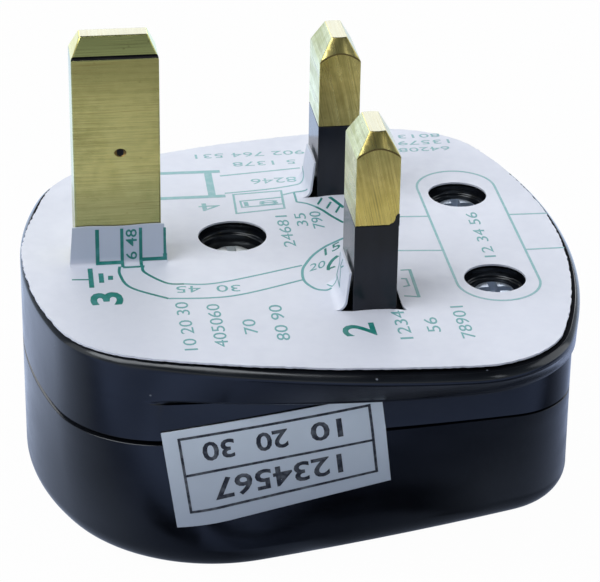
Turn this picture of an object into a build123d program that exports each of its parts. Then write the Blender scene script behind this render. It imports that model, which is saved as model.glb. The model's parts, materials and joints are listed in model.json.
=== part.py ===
from build123d import *
from collections import namedtuple
from math import cos, hypot, radians, sin, sqrt
import os

# A rewirable three-pin mains plug of the British pattern, lying on its back with the pins up.
# The origin is on the resting face, under the middle of the line-neutral pin row.
# +X runs to the cord end, +Y to the neutral pin's side, +Z up along the pins. Sizes are in mm.

# Pin pattern and pins
row_spacing = 22.23
earth_distance = 22.23
earth_pin_width = 8.0
earth_pin_thickness = 4.0
earth_pin_reach = 22.73
earth_tip_width = 6.2
earth_tip_thickness = 1.75
earth_tip_height = 1.97
side_pin_width = 6.35
side_pin_thickness = 4.0
side_pin_reach = 17.7
side_tip_width = 4.56
side_tip_thickness = 1.49
side_tip_height = 2.2
pin_shoulder = 1.7
pillar_height = 8.0
wire_drop = 3.6
slot_clearance = 0.1
sleeve_reach = 8.9
sleeve_depth = 2.0
sleeve_thickness = 0.5
sleeve_clearance = 0.03

# Heights and walls of the two mouldings
body_height = 22.0
base_depth = 8.0
flange_depth = 4.0
flange_edge = 0.35
rim_band = 0.9
rim_round = 0.45
round_bands = 3
plate = 3.0
wall = 2.2
cover_floor = 2.5
cover_round = 2.65
groove_height = 0.4
groove_depth = 0.4

# Earth end of the outlines, the same from the rim down to the parting line
earth_margin = 9.1
earth_bow = 43.5
earth_corner = 10.65
earth_half_width = 21.25

# Rim of the pin face
rim_side_bow = 82.7
rim_cord_end = 21.0
rim_cord_bow = 55.0
rim_cord_corner = 10.9
rim_half_width = 26.65

# Foot of the flange that overhangs the finger grip
foot_side_bow = 93.0
foot_cord_end = 20.8
foot_cord_bow = 57.0
foot_cord_corner = 12.0
foot_half_width = 23.4

# Side wall at the parting line
wall_side_bow = 203.0
wall_cord_end = 20.4
wall_cord_bow = 59.0
wall_cord_corner = 6.8
wall_half_width = 20.2

# Cover where its back edge starts to round off
back_earth_bow = 28.7
back_earth_corner = 16.0
back_earth_half_width = 22.0
back_side_bow = 276.0
back_cord_end = 21.0
back_cord_bow = 46.3
back_cord_corner = 8.2
back_half_width = 16.15

# Screw forms
screw_point = 0.6
bore_lead = 0.85
bore_step = 0.35
pan_side = 0.9
pan_bevel_height = 0.7
pan_bevel = 0.5
pan_top_bevel = 0.6
cross_length = 3.5
cross_width = 0.85
cross_depth = 1.1
slot_width = 0.8
slot_depth = 0.95
head_edge = 0.3

# Cover screw, its retaining washer and its insert
cover_screw_distance = 11.0
cover_screw_offset = 2.4
cover_screw_radius = 1.75
cover_screw_head_radius = 2.7
cover_screw_head_height = 2.0
cover_screw_sink = 1.45
cover_screw_length = 11.4
cover_screw_bore_radius = 3.25
cover_boss_wall = 1.6
washer_thickness = 0.8
washer_radius = 3.4
insert_radius = 3.0
insert_length = 7.5
insert_groove_width = 2.25
insert_groove_depth = 0.3

# Cord inlet and cord grip
cord_radius = 3.75
inlet_radius = 4.2
inlet_gap = 0.6
inlet_wall = 1.6
grip_distance = 12.2
grip_screw_spacing = 18.3
grip_screw_radius = 1.5
grip_screw_head_radius = 2.35
grip_screw_head_height = 1.8
grip_screw_sink = 0.75
grip_bore_radius = 2.85
grip_boss_wall = 1.4
grip_boss_drop = 3.4
grip_bar_width = 6.5
grip_bar_thickness = 4.2
grip_bar_overhang = 3.9
grip_bar_saddle = 1.15
nut_width = 5.5
nut_height = 2.4
anvil_thickness = 1.2
anvil_spacing = 4.0
anvil_drop = 2.75

# Terminal screws and wire holes
terminal_screw_radius = 1.7
terminal_screw_head_radius = 2.4
terminal_screw_head_height = 1.9
terminal_screw_gap = 0.5
wire_hole_radius = 1.6
thread_clearance = 0.05

# Fuse, clips and line terminal
fuse_length = 25.4
fuse_radius = 3.17
fuse_cap_length = 5.6
fuse_cap_wall = 0.35
clip_thickness = 0.5
clip_width = 5.0
clip_base = 4.8
tab_margin = 0.3
clip_opening = 4.4
clip_lip_radius = 0.45
clip_clearance = 0.03
rivet_radius = 0.9
rivet_head_radius = 1.4
rivet_head_height = 0.2
rivet_grip = 0.9
heel_height = 3.4
tongue_thickness = 1.1
line_block_length = 5.0
line_block_width = 5.0
line_block_shift = 1.5
line_block_gap = 0.5
line_block_margin = 5.5

# Ribs, collars and locating lips of the mouldings
rib = 1.2
collar_depth = 3.6
collar_clearance = 0.2
lip_height = 1.4
lip_thickness = 1.0
lip_clearance = 0.15
lip_length = 16.0
seat_gap = 0.2
floor_rib_height = 2.0
floor_rib_spacing = 7.0

# Instruction card and test label
card_thickness = 0.3
card_margin = 0.8
card_relief = 0.9
card_slot_clearance = 0.35
card_bend = 0.5
card_flap_gap = 0.12
label_thickness = 0.15
label_gap = 0.03
label_width = 20.0
label_height = 10.0
label_tilt = 8.0
label_from_earth = 11.7
label_centre_height = 11.4

# How far a cut runs past the face that it opens
past = 1.0

# Levels
parting = body_height - base_depth
flange_foot_level = body_height - flange_depth
plate_under = body_height - plate
pillar_foot = plate_under - pillar_height
clip_seat = plate_under - heel_height
wire_level = plate_under - wire_drop

# Places in plan
earth_x = -earth_distance
line_y = -row_spacing / 2
neutral_y = row_spacing / 2
screw_x = -cover_screw_distance
screw_y = cover_screw_offset
grip_y = grip_screw_spacing / 2
earth_pillar_x = earth_pin_width
earth_pillar_y = earth_pin_thickness + 2 * pin_shoulder
side_pillar_x = side_pin_thickness + 2 * pin_shoulder
side_pillar_y = side_pin_width

# The run of the fuse, from the line pin's heel back to the line terminal at the earth end
rivet_reach = fuse_cap_length / 2 + rivet_head_radius + slot_clearance
tab_reach = rivet_reach + rivet_head_radius + tab_margin
pin_cap_x = tab_reach - side_pillar_x / 2
terminal_cap_x = pin_cap_x - (fuse_length - fuse_cap_length)
fuse_end_x = pin_cap_x + fuse_cap_length / 2
fuse_start_x = fuse_end_x - fuse_length
pin_rivet_x = pin_cap_x - rivet_reach
terminal_rivet_x = terminal_cap_x + rivet_reach
tongue_end_x = terminal_cap_x + tab_reach
line_block_x1 = fuse_start_x - line_block_gap
line_block_x0 = line_block_x1 - line_block_length
line_block_x = (line_block_x0 + line_block_x1) / 2
line_block_y = line_y + line_block_shift
line_block_y0 = line_block_y - line_block_width / 2
line_block_y1 = line_block_y + line_block_width / 2

# The body is long enough at the earth end for the earth pin and for the line terminal
earth_end = max(earth_distance + earth_margin, line_block_margin - line_block_x0)

Outline = namedtuple(
    "Outline",
    "earth_end earth_bow earth_corner earth_half_width"
    " side_bow cord_end cord_bow cord_corner cord_half_width",
)

rim_outline = Outline(
    earth_end, earth_bow, earth_corner, earth_half_width,
    rim_side_bow, rim_cord_end, rim_cord_bow, rim_cord_corner, rim_half_width,
)
foot_outline = Outline(
    earth_end, earth_bow, earth_corner, earth_half_width,
    foot_side_bow, foot_cord_end, foot_cord_bow, foot_cord_corner, foot_half_width,
)
wall_outline = Outline(
    earth_end, earth_bow, earth_corner, earth_half_width,
    wall_side_bow, wall_cord_end, wall_cord_bow, wall_cord_corner, wall_half_width,
)
back_outline = Outline(
    earth_end, back_earth_bow, back_earth_corner, back_earth_half_width,
    back_side_bow, back_cord_end, back_cord_bow, back_cord_corner, back_half_width,
)


def block(x0, x1, y0, y1, z0, z1):
    """A box between two corners."""
    middle = Pos((x0 + x1) / 2, (y0 + y1) / 2, (z0 + z1) / 2)
    return middle * Box(x1 - x0, y1 - y0, z1 - z0)


def upright(x, y, z0, z1, radius):
    """A round bar along Z."""
    return Pos(x, y, (z0 + z1) / 2) * Cylinder(radius, z1 - z0)


def lying(x0, x1, y, z, radius):
    """A round bar along X."""
    return Pos((x0 + x1) / 2, y, z) * Rot(0, 90, 0) * Cylinder(radius, x1 - x0)


def point_at(centre, radius, away_from):
    """The point of a circle that faces away from another point."""
    return centre + (centre - away_from).normalized() * radius


def arc_about(centre, radius, start, end):
    """The short arc about a centre between two of its points."""
    middle = centre + ((start + end) / 2 - centre).normalized() * radius
    return ThreePointArc(start, middle, end)


def flipped(point):
    """The point on the other side of the plane of symmetry."""
    return Vector(point.X, -point.Y)


def plan(o, inset, level):
    """A closed outline of tangent arcs: bowed ends, round corners and bowed sides."""
    earth_y = o.earth_half_width - o.earth_corner
    earth_middle = Vector(o.earth_bow - o.earth_end, 0)
    earth_reach = sqrt((o.earth_bow - o.earth_corner) ** 2 - earth_y ** 2)
    earth_centre = Vector(earth_middle.X - earth_reach, earth_y)

    cord_y = o.cord_half_width - o.cord_corner
    cord_middle = Vector(o.cord_end - o.cord_bow, 0)
    cord_reach = sqrt((o.cord_bow - o.cord_corner) ** 2 - cord_y ** 2)
    cord_centre = Vector(cord_middle.X + cord_reach, cord_y)

    span = cord_centre - earth_centre
    to_earth = o.side_bow - o.earth_corner
    to_cord = o.side_bow - o.cord_corner
    along = (to_earth ** 2 - to_cord ** 2 + span.length ** 2) / (2 * span.length)
    across = sqrt(to_earth ** 2 - along ** 2)
    direction = span.normalized()
    side_centre = earth_centre + direction * along + Vector(direction.Y, -direction.X) * across

    earth_radius = o.earth_corner - inset
    cord_radius_here = o.cord_corner - inset
    end_point = point_at(earth_centre, earth_radius, earth_middle)
    earth_side = point_at(earth_centre, earth_radius, side_centre)
    cord_side = point_at(cord_centre, cord_radius_here, side_centre)
    cord_point = point_at(cord_centre, cord_radius_here, cord_middle)

    corner = arc_about(earth_centre, earth_radius, end_point, earth_side)
    side = arc_about(side_centre, o.side_bow - inset, earth_side, cord_side)
    shoulder = arc_about(cord_centre, cord_radius_here, cord_side, cord_point)
    cord_arc = arc_about(cord_middle, o.cord_bow - inset, cord_point, flipped(cord_point))
    other_shoulder = arc_about(
        flipped(cord_centre), cord_radius_here, flipped(cord_point), flipped(cord_side)
    )
    other_side = arc_about(
        flipped(side_centre), o.side_bow - inset, flipped(cord_side), flipped(earth_side)
    )
    other_corner = arc_about(
        flipped(earth_centre), earth_radius, flipped(earth_side), flipped(end_point)
    )
    earth_arc = arc_about(earth_middle, o.earth_bow - inset, flipped(end_point), end_point)
    edges = [
        corner, side, shoulder, cord_arc,
        other_shoulder, other_side, other_corner, earth_arc,
    ]
    return Pos(0, 0, level) * make_face(Curve() + edges)


def between(*outlines):
    """A solid with straight walls from each outline up to the next."""
    return loft(outlines, ruled=True)


def round_steps(radius):
    """Inset and drop of the sections of a rounded edge, from the wall to the flat."""
    angles = [radians(90 * step / round_bands) for step in range(round_bands + 1)]
    return [(radius * (1 - cos(angle)), radius * (1 - sin(angle))) for angle in angles]


def turned(points):
    """A solid of revolution about Z from a closed profile of radius and height."""
    return revolve(Plane.XZ * make_face(Polyline(*points, close=True)), Axis.Z)


# Screws, built with the underside of the head at the origin and the shank downwards


def pan_head_screw(radius, length, head_radius, head_height):
    """A screw with a bevelled pan head and a cross recess."""
    shoulder = head_radius - pan_bevel
    screw = turned([
        (0, -length), (radius - screw_point, -length), (radius, screw_point - length), (radius, 0),
        (head_radius, 0), (head_radius, pan_side), (shoulder, pan_side + pan_bevel_height),
        (shoulder - pan_top_bevel, head_height), (0, head_height),
    ])
    arm = Box(cross_length, cross_width, 2 * cross_depth)
    return screw - Pos(0, 0, head_height) * (arm + Rot(0, 0, 90) * arm)


def slotted_screw(radius, length, head_radius, head_height):
    """A cheese-head screw with one slot."""
    screw = turned([
        (0, -length), (radius - screw_point, -length), (radius, screw_point - length), (radius, 0),
        (head_radius, 0), (head_radius, head_height - head_edge),
        (head_radius - head_edge, head_height), (0, head_height),
    ])
    slot = Box(2 * head_radius + past, slot_width, 2 * slot_depth)
    return screw - Pos(0, 0, head_height) * slot


# Pins with their terminal pillars


def earth_blade():
    """The earth blade, with four flat chamfers at its tip."""
    shoulder_level = body_height + earth_pin_reach - earth_tip_height
    blade = block(
        -earth_pin_width / 2, earth_pin_width / 2,
        -earth_pin_thickness / 2, earth_pin_thickness / 2,
        plate_under, shoulder_level,
    )
    root = Pos(0, 0, shoulder_level) * Rectangle(earth_pin_width, earth_pin_thickness)
    tip = Pos(0, 0, body_height + earth_pin_reach) * Rectangle(earth_tip_width, earth_tip_thickness)
    return blade + between(root, tip)


def side_blade():
    """A line or neutral blade: flat chamfers on the broad faces, a turned chamfer at the edges."""
    top = body_height + side_pin_reach
    shoulder_level = top - side_tip_height
    half = side_pin_thickness / 2
    tip_half = side_tip_thickness / 2
    profile = Polyline(
        (-half, plate_under), (half, plate_under), (half, shoulder_level),
        (tip_half, top), (-tip_half, top), (-half, shoulder_level), close=True,
    )
    blade = extrude(Plane.XZ * make_face(profile), side_pin_width / 2, both=True)
    corner = hypot(half, side_pin_width / 2)
    turned_tip = turned([
        (0, plate_under), (corner, plate_under), (corner, shoulder_level),
        (side_tip_width / 2, top), (0, top),
    ])
    neck_top = body_height + sleeve_reach
    neck = sleeve_tube(plate_under + plate - sleeve_depth, neck_top, 0.0)
    return (blade & turned_tip) - neck


def sleeve_tube(bottom, top, clearance):
    """A rectangular tube that is flush with the blade's faces."""
    inner_x = side_pin_thickness - 2 * sleeve_thickness + 2 * clearance
    inner_y = side_pin_width - 2 * sleeve_thickness + 2 * clearance
    outer = Rectangle(side_pin_thickness, side_pin_width)
    inner = Rectangle(inner_x, inner_y)
    return Pos(0, 0, bottom) * extrude(outer - inner, top - bottom)


def sleeve():
    """The insulating sleeve on the root of a line or neutral blade."""
    bottom = body_height - sleeve_depth + sleeve_clearance
    return sleeve_tube(bottom, body_height + sleeve_reach - sleeve_clearance, sleeve_clearance)


def pillar(size_x, size_y):
    """A terminal pillar: a wire hole along X, met from below by a tapped hole."""
    body = block(-size_x / 2, size_x / 2, -size_y / 2, size_y / 2, pillar_foot, plate_under)
    wire = lying(-size_x, size_x, 0, wire_level, wire_hole_radius)
    tapped = upright(0, 0, pillar_foot - past, wire_level, terminal_screw_radius + thread_clearance)
    return body - wire - tapped


def terminal_screw():
    """A terminal screw, head down, its tip in the wire hole."""
    seat = pillar_foot - terminal_screw_gap
    length = wire_level - seat
    screw = slotted_screw(
        terminal_screw_radius, length, terminal_screw_head_radius, terminal_screw_head_height
    )
    return Pos(0, 0, seat) * Rot(180, 0, 0) * screw


# Fuse and its carriers

fuse_level = clip_seat - clip_thickness - clip_clearance - fuse_radius
fuse_body_radius = fuse_radius - fuse_cap_wall
rivet_low = clip_seat - clip_thickness - rivet_head_height
rivet_high = clip_seat + rivet_grip


def fuse_clip(cap_x, inward):
    """A spring clip bent round a fuse cap, with curled lips and a tab for its rivet."""
    inner = fuse_radius + clip_clearance
    outer = inner + clip_thickness
    lip_level = -sqrt(outer ** 2 - (clip_opening / 2) ** 2)
    base = Pos(0, outer - clip_thickness / 2) * Rectangle(clip_base, clip_thickness)
    mouth = Pos(0, -outer) * Rectangle(clip_opening, 2 * outer)
    lips = Sketch() + [
        Pos(side * (clip_opening / 2 + clip_lip_radius), lip_level) * Circle(clip_lip_radius)
        for side in (-1, 1)
    ]
    profile = (Circle(outer) + base - Circle(inner)) - mouth + lips - Circle(inner)
    spring = extrude(Plane.YZ * profile, clip_width / 2, both=True)
    spring = Pos(cap_x, line_y, fuse_level) * spring
    tab_start = cap_x + inward * clip_width / 2
    tab_end = cap_x + inward * tab_reach
    tab = block(
        min(tab_start, tab_end), max(tab_start, tab_end),
        line_y - clip_base / 2, line_y + clip_base / 2,
        clip_seat - clip_thickness, clip_seat,
    )
    hole = upright(
        cap_x + inward * rivet_reach, line_y, rivet_low, rivet_high, rivet_radius + thread_clearance
    )
    return spring + tab - hole


def rivet(x):
    """A flat-headed rivet that holds a clip to its carrier."""
    shank = upright(x, line_y, rivet_low, rivet_high, rivet_radius)
    head = upright(x, line_y, rivet_low, rivet_low + rivet_head_height, rivet_head_radius)
    return shank + head


def rivet_hole(x):
    """The hole for a clip's rivet in its carrier."""
    return upright(x, line_y, rivet_low, rivet_high, rivet_radius + thread_clearance)


def line_terminal():
    """The line terminal: a block for the wire and a tongue over the fuse's end."""
    body = block(line_block_x0, line_block_x1, line_block_y0, line_block_y1, pillar_foot, plate_under)
    tongue = block(
        line_block_x1, tongue_end_x, line_y - clip_base / 2, line_y + clip_base / 2,
        clip_seat, clip_seat + tongue_thickness,
    )
    wire = Pos(line_block_x, line_block_y, wire_level) * Rot(90, 0, 0)
    wire = wire * Cylinder(wire_hole_radius, 2 * line_block_width)
    tapped = upright(
        line_block_x, line_block_y, pillar_foot - past, wire_level,
        terminal_screw_radius + thread_clearance,
    )
    return body + tongue - wire - tapped - rivet_hole(terminal_rivet_x)


def line_pin():
    """The line pin, whose heel carries the fuse clip."""
    heel = block(
        -side_pillar_x / 2, side_pillar_x / 2, line_y - side_pillar_y / 2, line_y + side_pillar_y / 2,
        clip_seat, plate_under,
    )
    return Pos(0, line_y, 0) * side_blade() + heel - rivet_hole(pin_rivet_x)


def fuse_cap(cap_x, outward):
    """An end cap: a drawn cup with its floor at the fuse's end."""
    cup = lying(cap_x - fuse_cap_length / 2, cap_x + fuse_cap_length / 2, line_y, fuse_level, fuse_radius)
    inside = lying(
        cap_x - fuse_cap_length / 2, cap_x + fuse_cap_length / 2,
        line_y, fuse_level, fuse_body_radius + clip_clearance,
    )
    return cup - Pos(-outward * fuse_cap_wall, 0, 0) * inside


def fuse_body():
    """The ceramic barrel between the caps."""
    inset = fuse_cap_wall + clip_clearance
    return lying(fuse_start_x + inset, fuse_end_x - inset, line_y, fuse_level, fuse_body_radius)


# Cover screw group

cover_head_seat = body_height - cover_screw_sink - cover_screw_head_height
cover_boss_radius = cover_screw_bore_radius + cover_boss_wall
washer_seat = parting + washer_thickness + seat_gap
insert_top = parting - seat_gap
insert_boss_radius = insert_radius + cover_boss_wall


def cover_screw():
    """The screw that holds the cover, driven from the pin face."""
    screw = pan_head_screw(
        cover_screw_radius, cover_screw_length, cover_screw_head_radius, cover_screw_head_height
    )
    return Pos(screw_x, screw_y, cover_head_seat) * screw


def cover_screw_washer():
    """The washer under the base that keeps the screw captive."""
    foot = washer_seat - washer_thickness
    ring = upright(screw_x, screw_y, foot, washer_seat, washer_radius)
    hole = cover_screw_radius + thread_clearance
    return ring - upright(screw_x, screw_y, foot - past, washer_seat + past, hole)


def cover_insert():
    """The tapped brass insert in the cover's boss, with a retaining groove."""
    foot = insert_top - insert_length
    groove_foot = foot + (insert_length - insert_groove_width) / 2
    groove_top = groove_foot + insert_groove_width
    bottom = insert_radius - insert_groove_depth
    tapped = cover_screw_radius + thread_clearance
    sleeve_wall = turned([
        (tapped, foot), (insert_radius, foot), (insert_radius, groove_foot), (bottom, groove_foot),
        (bottom, groove_top), (insert_radius, groove_top), (insert_radius, insert_top),
        (tapped, insert_top),
    ])
    return Pos(screw_x, screw_y, 0) * sleeve_wall


# Cord grip group

grip_head_seat = body_height - grip_screw_sink - grip_screw_head_height
grip_boss_radius = grip_bore_radius + grip_boss_wall
grip_boss_foot = plate_under - grip_boss_drop
grip_bar_top = parting - cord_radius + grip_bar_saddle
grip_bar_foot = grip_bar_top - grip_bar_thickness
grip_screw_length = grip_head_seat - grip_bar_foot
grip_bar_length = grip_screw_spacing + 2 * grip_bar_overhang
inlet_start = grip_distance + grip_bar_width / 2 + inlet_gap


def pair(piece):
    """The piece at both cord-grip screws."""
    return [Pos(grip_distance, side * grip_y, 0) * piece for side in (-1, 1)]


def grip_screw():
    """A cord-grip screw, driven from the pin face."""
    screw = pan_head_screw(
        grip_screw_radius, grip_screw_length, grip_screw_head_radius, grip_screw_head_height
    )
    return Pos(0, 0, grip_head_seat) * screw


def grip_nut():
    """A square nut caught in the underside of the cord-grip bar."""
    body = block(
        -nut_width / 2, nut_width / 2, -nut_width / 2, nut_width / 2,
        grip_bar_foot, grip_bar_foot + nut_height,
    )
    tapped = grip_screw_radius + thread_clearance
    return body - upright(0, 0, grip_bar_foot - past, grip_bar_foot + nut_height + past, tapped)


def grip_bar():
    """The cord-grip bar, hollowed for the cord and round at its ends."""
    flat = SlotOverall(grip_bar_length, grip_bar_width, rotation=90)
    bar = Pos(grip_distance, 0, grip_bar_foot) * extrude(flat, grip_bar_thickness)
    saddle = lying(
        grip_distance - grip_bar_width, grip_distance + grip_bar_width, 0, parting, cord_radius
    )
    pocket_side = nut_width + 2 * thread_clearance
    pocket = Pos(0, 0, grip_bar_foot) * Box(pocket_side, pocket_side, 2 * nut_height)
    hole = upright(0, 0, grip_bar_foot, grip_bar_top + past, grip_screw_radius + slot_clearance)
    for cut in pair(pocket + hole):
        bar -= cut
    return bar - saddle


# The base moulding


def slot(x, y, size_x, size_y):
    """A blade's slot through the pin face."""
    return block(
        x - size_x / 2 - slot_clearance, x + size_x / 2 + slot_clearance,
        y - size_y / 2 - slot_clearance, y + size_y / 2 + slot_clearance,
        plate_under - past, body_height + past,
    )


def collar(x, y, size_x, size_y):
    """A fence round a terminal, open towards the cord."""
    half_x = size_x / 2 + collar_clearance
    half_y = size_y / 2 + collar_clearance
    foot = plate_under - collar_depth
    fence = block(x - half_x - rib, x + half_x, y - half_y - rib, y + half_y + rib, foot, plate_under)
    room = block(x - half_x, x + half_x + past, y - half_y, y + half_y, foot - past, plate_under)
    return fence - room


def inlet_ring():
    """The thickened wall round the cord inlet, kept inside the wall's outer face."""
    radius = inlet_radius + inlet_wall
    ring = lying(inlet_start, wall_cord_end, 0, parting, radius)
    inside = extrude(plan(wall_outline, wall / 2, parting - radius), 2 * radius)
    return ring & inside


def inlet_bore():
    """The cord inlet, half in the base and half in the cover."""
    return lying(inlet_start - wall, wall_cord_end + wall, 0, parting, inlet_radius)


def stepped_hole(x, y, bore, seat, shank, foot):
    """A screw's way in from the pin face: a wide lead, a bore down to a seat, then the shank's hole."""
    lead = upright(x, y, body_height - bore_lead, body_height + past, bore)
    head_room = upright(x, y, seat, body_height, bore - bore_step)
    return lead + head_room + upright(x, y, foot - past, seat + past, shank)


def grip_anvils():
    """Two ribs under the pin face that the cord is pressed against."""
    half = grip_y - grip_boss_radius / 2
    ribs = Part() + [
        block(
            grip_distance + side * anvil_spacing / 2 - anvil_thickness / 2,
            grip_distance + side * anvil_spacing / 2 + anvil_thickness / 2,
            -half, half, plate_under - anvil_drop, plate_under,
        )
        for side in (-1, 1)
    ]
    return ribs - lying(0, 2 * grip_distance, 0, parting, cord_radius)


def base():
    """The pin-face moulding: a flared flange, a skirt, pockets and bosses."""
    flange = between(
        plan(foot_outline, flange_edge, flange_foot_level),
        plan(foot_outline, 0, flange_foot_level + flange_edge),
        plan(rim_outline, 0, body_height - rim_band),
        *[plan(rim_outline, inset, body_height - drop) for inset, drop in round_steps(rim_round)],
    )
    skirt = extrude(plan(wall_outline, 0, parting), flange_foot_level + flange_edge - parting)
    cavity = extrude(plan(wall_outline, wall, parting), plate_under - parting)
    body = flange + skirt - cavity

    body += inlet_ring() & block(0, 2 * wall_cord_end, -wall_half_width, wall_half_width, parting, plate_under)
    body += collar(earth_x, 0, earth_pillar_x, earth_pillar_y)
    body += collar(0, neutral_y, side_pillar_x, side_pillar_y)
    body += collar(0, line_y, side_pillar_x, side_pillar_y) & block(
        -earth_end, wall_cord_end, -rim_half_width, rim_half_width, clip_seat, plate_under
    )
    body += block(
        line_block_x1 + collar_clearance, tongue_end_x, line_y - clip_base / 2, line_y + clip_base / 2,
        clip_seat + tongue_thickness, plate_under,
    )
    body += upright(screw_x, screw_y, washer_seat, plate_under, cover_boss_radius)
    body += grip_anvils()
    for boss in pair(upright(0, 0, grip_boss_foot, plate_under, grip_boss_radius)):
        body += boss

    body -= slot(earth_x, 0, earth_pin_width, earth_pin_thickness)
    body -= slot(0, line_y, side_pin_thickness, side_pin_width)
    body -= slot(0, neutral_y, side_pin_thickness, side_pin_width)
    body -= stepped_hole(
        screw_x, screw_y, cover_screw_bore_radius,
        cover_head_seat, cover_screw_radius + slot_clearance, washer_seat,
    )
    grip_hole = stepped_hole(
        0, 0, grip_bore_radius, grip_head_seat, grip_screw_radius + slot_clearance, grip_boss_foot
    )
    for hole in pair(grip_hole):
        body -= hole
    return body - inlet_bore()


# The cover moulding


def cover_form(inset, *foot):
    """The cover's form, upright at the earth end and drawn in towards the cord end."""
    return between(*foot, plan(wall_outline, inset, parting))


def pillar_props(x, y, size_x, size_y, across):
    """Two ribs on the cover's floor that keep a pillar seated, either side of its screw."""
    top = pillar_foot - seat_gap
    near = terminal_screw_head_radius + slot_clearance
    props = Part()
    for side in (-1, 1):
        if across:
            edges = sorted((y + side * near, y + side * size_y / 2))
            props += block(x - size_x / 2, x + size_x / 2, edges[0], edges[1], cover_floor, top)
        else:
            edges = sorted((x + side * near, x + side * size_x / 2))
            props += block(edges[0], edges[1], y - size_y / 2, y + size_y / 2, cover_floor, top)
    return props


def fuse_saddle():
    """The rib on the cover's floor that keeps the fuse in its clips."""
    middle = (fuse_start_x + fuse_end_x) / 2
    half = fuse_radius
    saddle = block(middle - rib, middle + rib, line_y - half, line_y + half, cover_floor, fuse_level)
    return saddle - lying(
        fuse_start_x, fuse_end_x, line_y, fuse_level, fuse_body_radius + seat_gap
    )


def locating_lips():
    """Short lips inside both side walls that line the cover up with the base."""
    lip_foot = parting - 2 * lip_height
    outer = wall + lip_clearance
    band = extrude(plan(wall_outline, outer, lip_foot), 3 * lip_height)
    band -= extrude(plan(wall_outline, outer + lip_thickness, lip_foot), 3 * lip_height)
    start = screw_x - lip_length / 2
    return band & block(
        start, start + lip_length, -rim_half_width, rim_half_width, lip_foot, parting + lip_height
    )


def lip_webs():
    """The thickening that joins the lips to the side walls below the parting line."""
    web_foot = parting - 2 * lip_height
    band = extrude(plan(wall_outline, wall / 2, web_foot), parting - web_foot)
    band -= extrude(plan(wall_outline, wall + lip_clearance + lip_thickness, web_foot), parting - web_foot)
    start = screw_x - lip_length / 2
    return band & block(
        start, start + lip_length, -rim_half_width, rim_half_width, web_foot, parting
    )


def floor_ribs():
    """Stiffening ribs across the cover's floor at the cord end."""
    half = back_half_width - back_cord_corner
    return Part() + [
        block(
            grip_distance - step * floor_rib_spacing - rib / 2,
            grip_distance - step * floor_rib_spacing + rib / 2,
            -half, half, cover_floor, cover_floor + floor_rib_height,
        )
        for step in (0, 1)
    ]


def cover():
    """The back moulding: a hollow shell with a rounded back edge, a boss and ribs."""
    round_foot = [plan(back_outline, inset, drop) for inset, drop in reversed(round_steps(cover_round))]
    shell = cover_form(0, *round_foot)
    hollow = cover_form(wall, plan(back_outline, wall, cover_floor))
    groove = extrude(plan(wall_outline, -past, parting - groove_height), groove_height)
    groove -= extrude(plan(wall_outline, groove_depth, parting - groove_height), groove_height)
    body = shell - groove - hollow

    body += inlet_ring() & block(0, 2 * wall_cord_end, -wall_half_width, wall_half_width, 0, parting)
    body += upright(screw_x, screw_y, cover_floor, insert_top, insert_boss_radius)
    body += pillar_props(earth_x, 0, earth_pillar_x, earth_pillar_y, True)
    body += pillar_props(0, neutral_y, side_pillar_x, side_pillar_y, False)
    body += fuse_saddle()
    body += floor_ribs()
    body += lip_webs()
    body += locating_lips()

    insert_hole = upright(screw_x, screw_y, insert_top - insert_length, insert_top + past, insert_radius)
    screw_room = upright(
        screw_x, screw_y, cover_head_seat - cover_screw_length - screw_point,
        insert_top, cover_screw_radius + slot_clearance,
    )
    return body - insert_hole - screw_room - inlet_bore()


# Card and label


def flap(size, length):
    """A flap of card folded up along X, its fold line at the origin and its back to +Y."""
    outer = card_bend + card_thickness
    tall = Pos(-card_thickness / 2, (outer + length) / 2) * Rectangle(card_thickness, length - outer)
    ring = Pos(-outer, outer) * (Circle(outer) - Circle(card_bend))
    bend = ring & (Pos(-outer / 2, outer / 2) * Rectangle(outer, outer))
    profile = Plane.YZ * (tall + bend)
    return extrude(profile, size / 2, both=True)


def instruction_card():
    """The card over the pins, its pin flaps folded up against the blades."""
    sheet = extrude(plan(rim_outline, card_margin, body_height), card_thickness)
    gap = card_slot_clearance
    earth_hole = Rectangle(earth_pin_width + 2 * gap, earth_pin_thickness + 2 * card_flap_gap)
    side_hole = Rectangle(side_pin_thickness + 2 * card_flap_gap + card_relief, side_pin_width + 2 * gap)
    holes = Sketch() + [
        Pos(earth_x, 0) * earth_hole,
        Pos(card_relief / 2, line_y) * side_hole,
        Pos(card_relief / 2, neutral_y) * side_hole,
        Pos(screw_x, screw_y) * Circle(cover_screw_bore_radius),
        Pos(grip_distance, grip_y) * Circle(grip_bore_radius),
        Pos(grip_distance, -grip_y) * Circle(grip_bore_radius),
    ]
    sheet -= Pos(0, 0, body_height) * extrude(holes, card_thickness)
    earth_flap = flap(earth_pin_width, earth_pin_thickness)
    fold_y = -earth_pin_thickness / 2 - card_flap_gap
    room = card_bend + card_thickness
    earth_room = block(
        earth_x - earth_pin_width / 2 - gap, earth_x + earth_pin_width / 2 + gap,
        fold_y - room, fold_y, body_height, body_height + card_thickness,
    )
    sheet = sheet - earth_room + Pos(earth_x, fold_y, body_height) * earth_flap
    side_flap = Rot(0, 0, -90) * flap(side_pin_width, side_pin_thickness)
    fold_x = -side_pin_thickness / 2 - card_flap_gap
    for y in (line_y, neutral_y):
        side_room = block(
            fold_x - room, fold_x, y - side_pin_width / 2 - gap, y + side_pin_width / 2 + gap,
            body_height, body_height + card_thickness,
        )
        sheet = sheet - side_room + Pos(fold_x, y, body_height) * side_flap
    return sheet


def label_layer(outset):
    """The side wall, base and cover together, grown by a little."""
    skirt = extrude(plan(wall_outline, -outset, parting), flange_foot_level - parting)
    return skirt + cover_form(-outset, plan(back_outline, -outset, cover_round))


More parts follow.
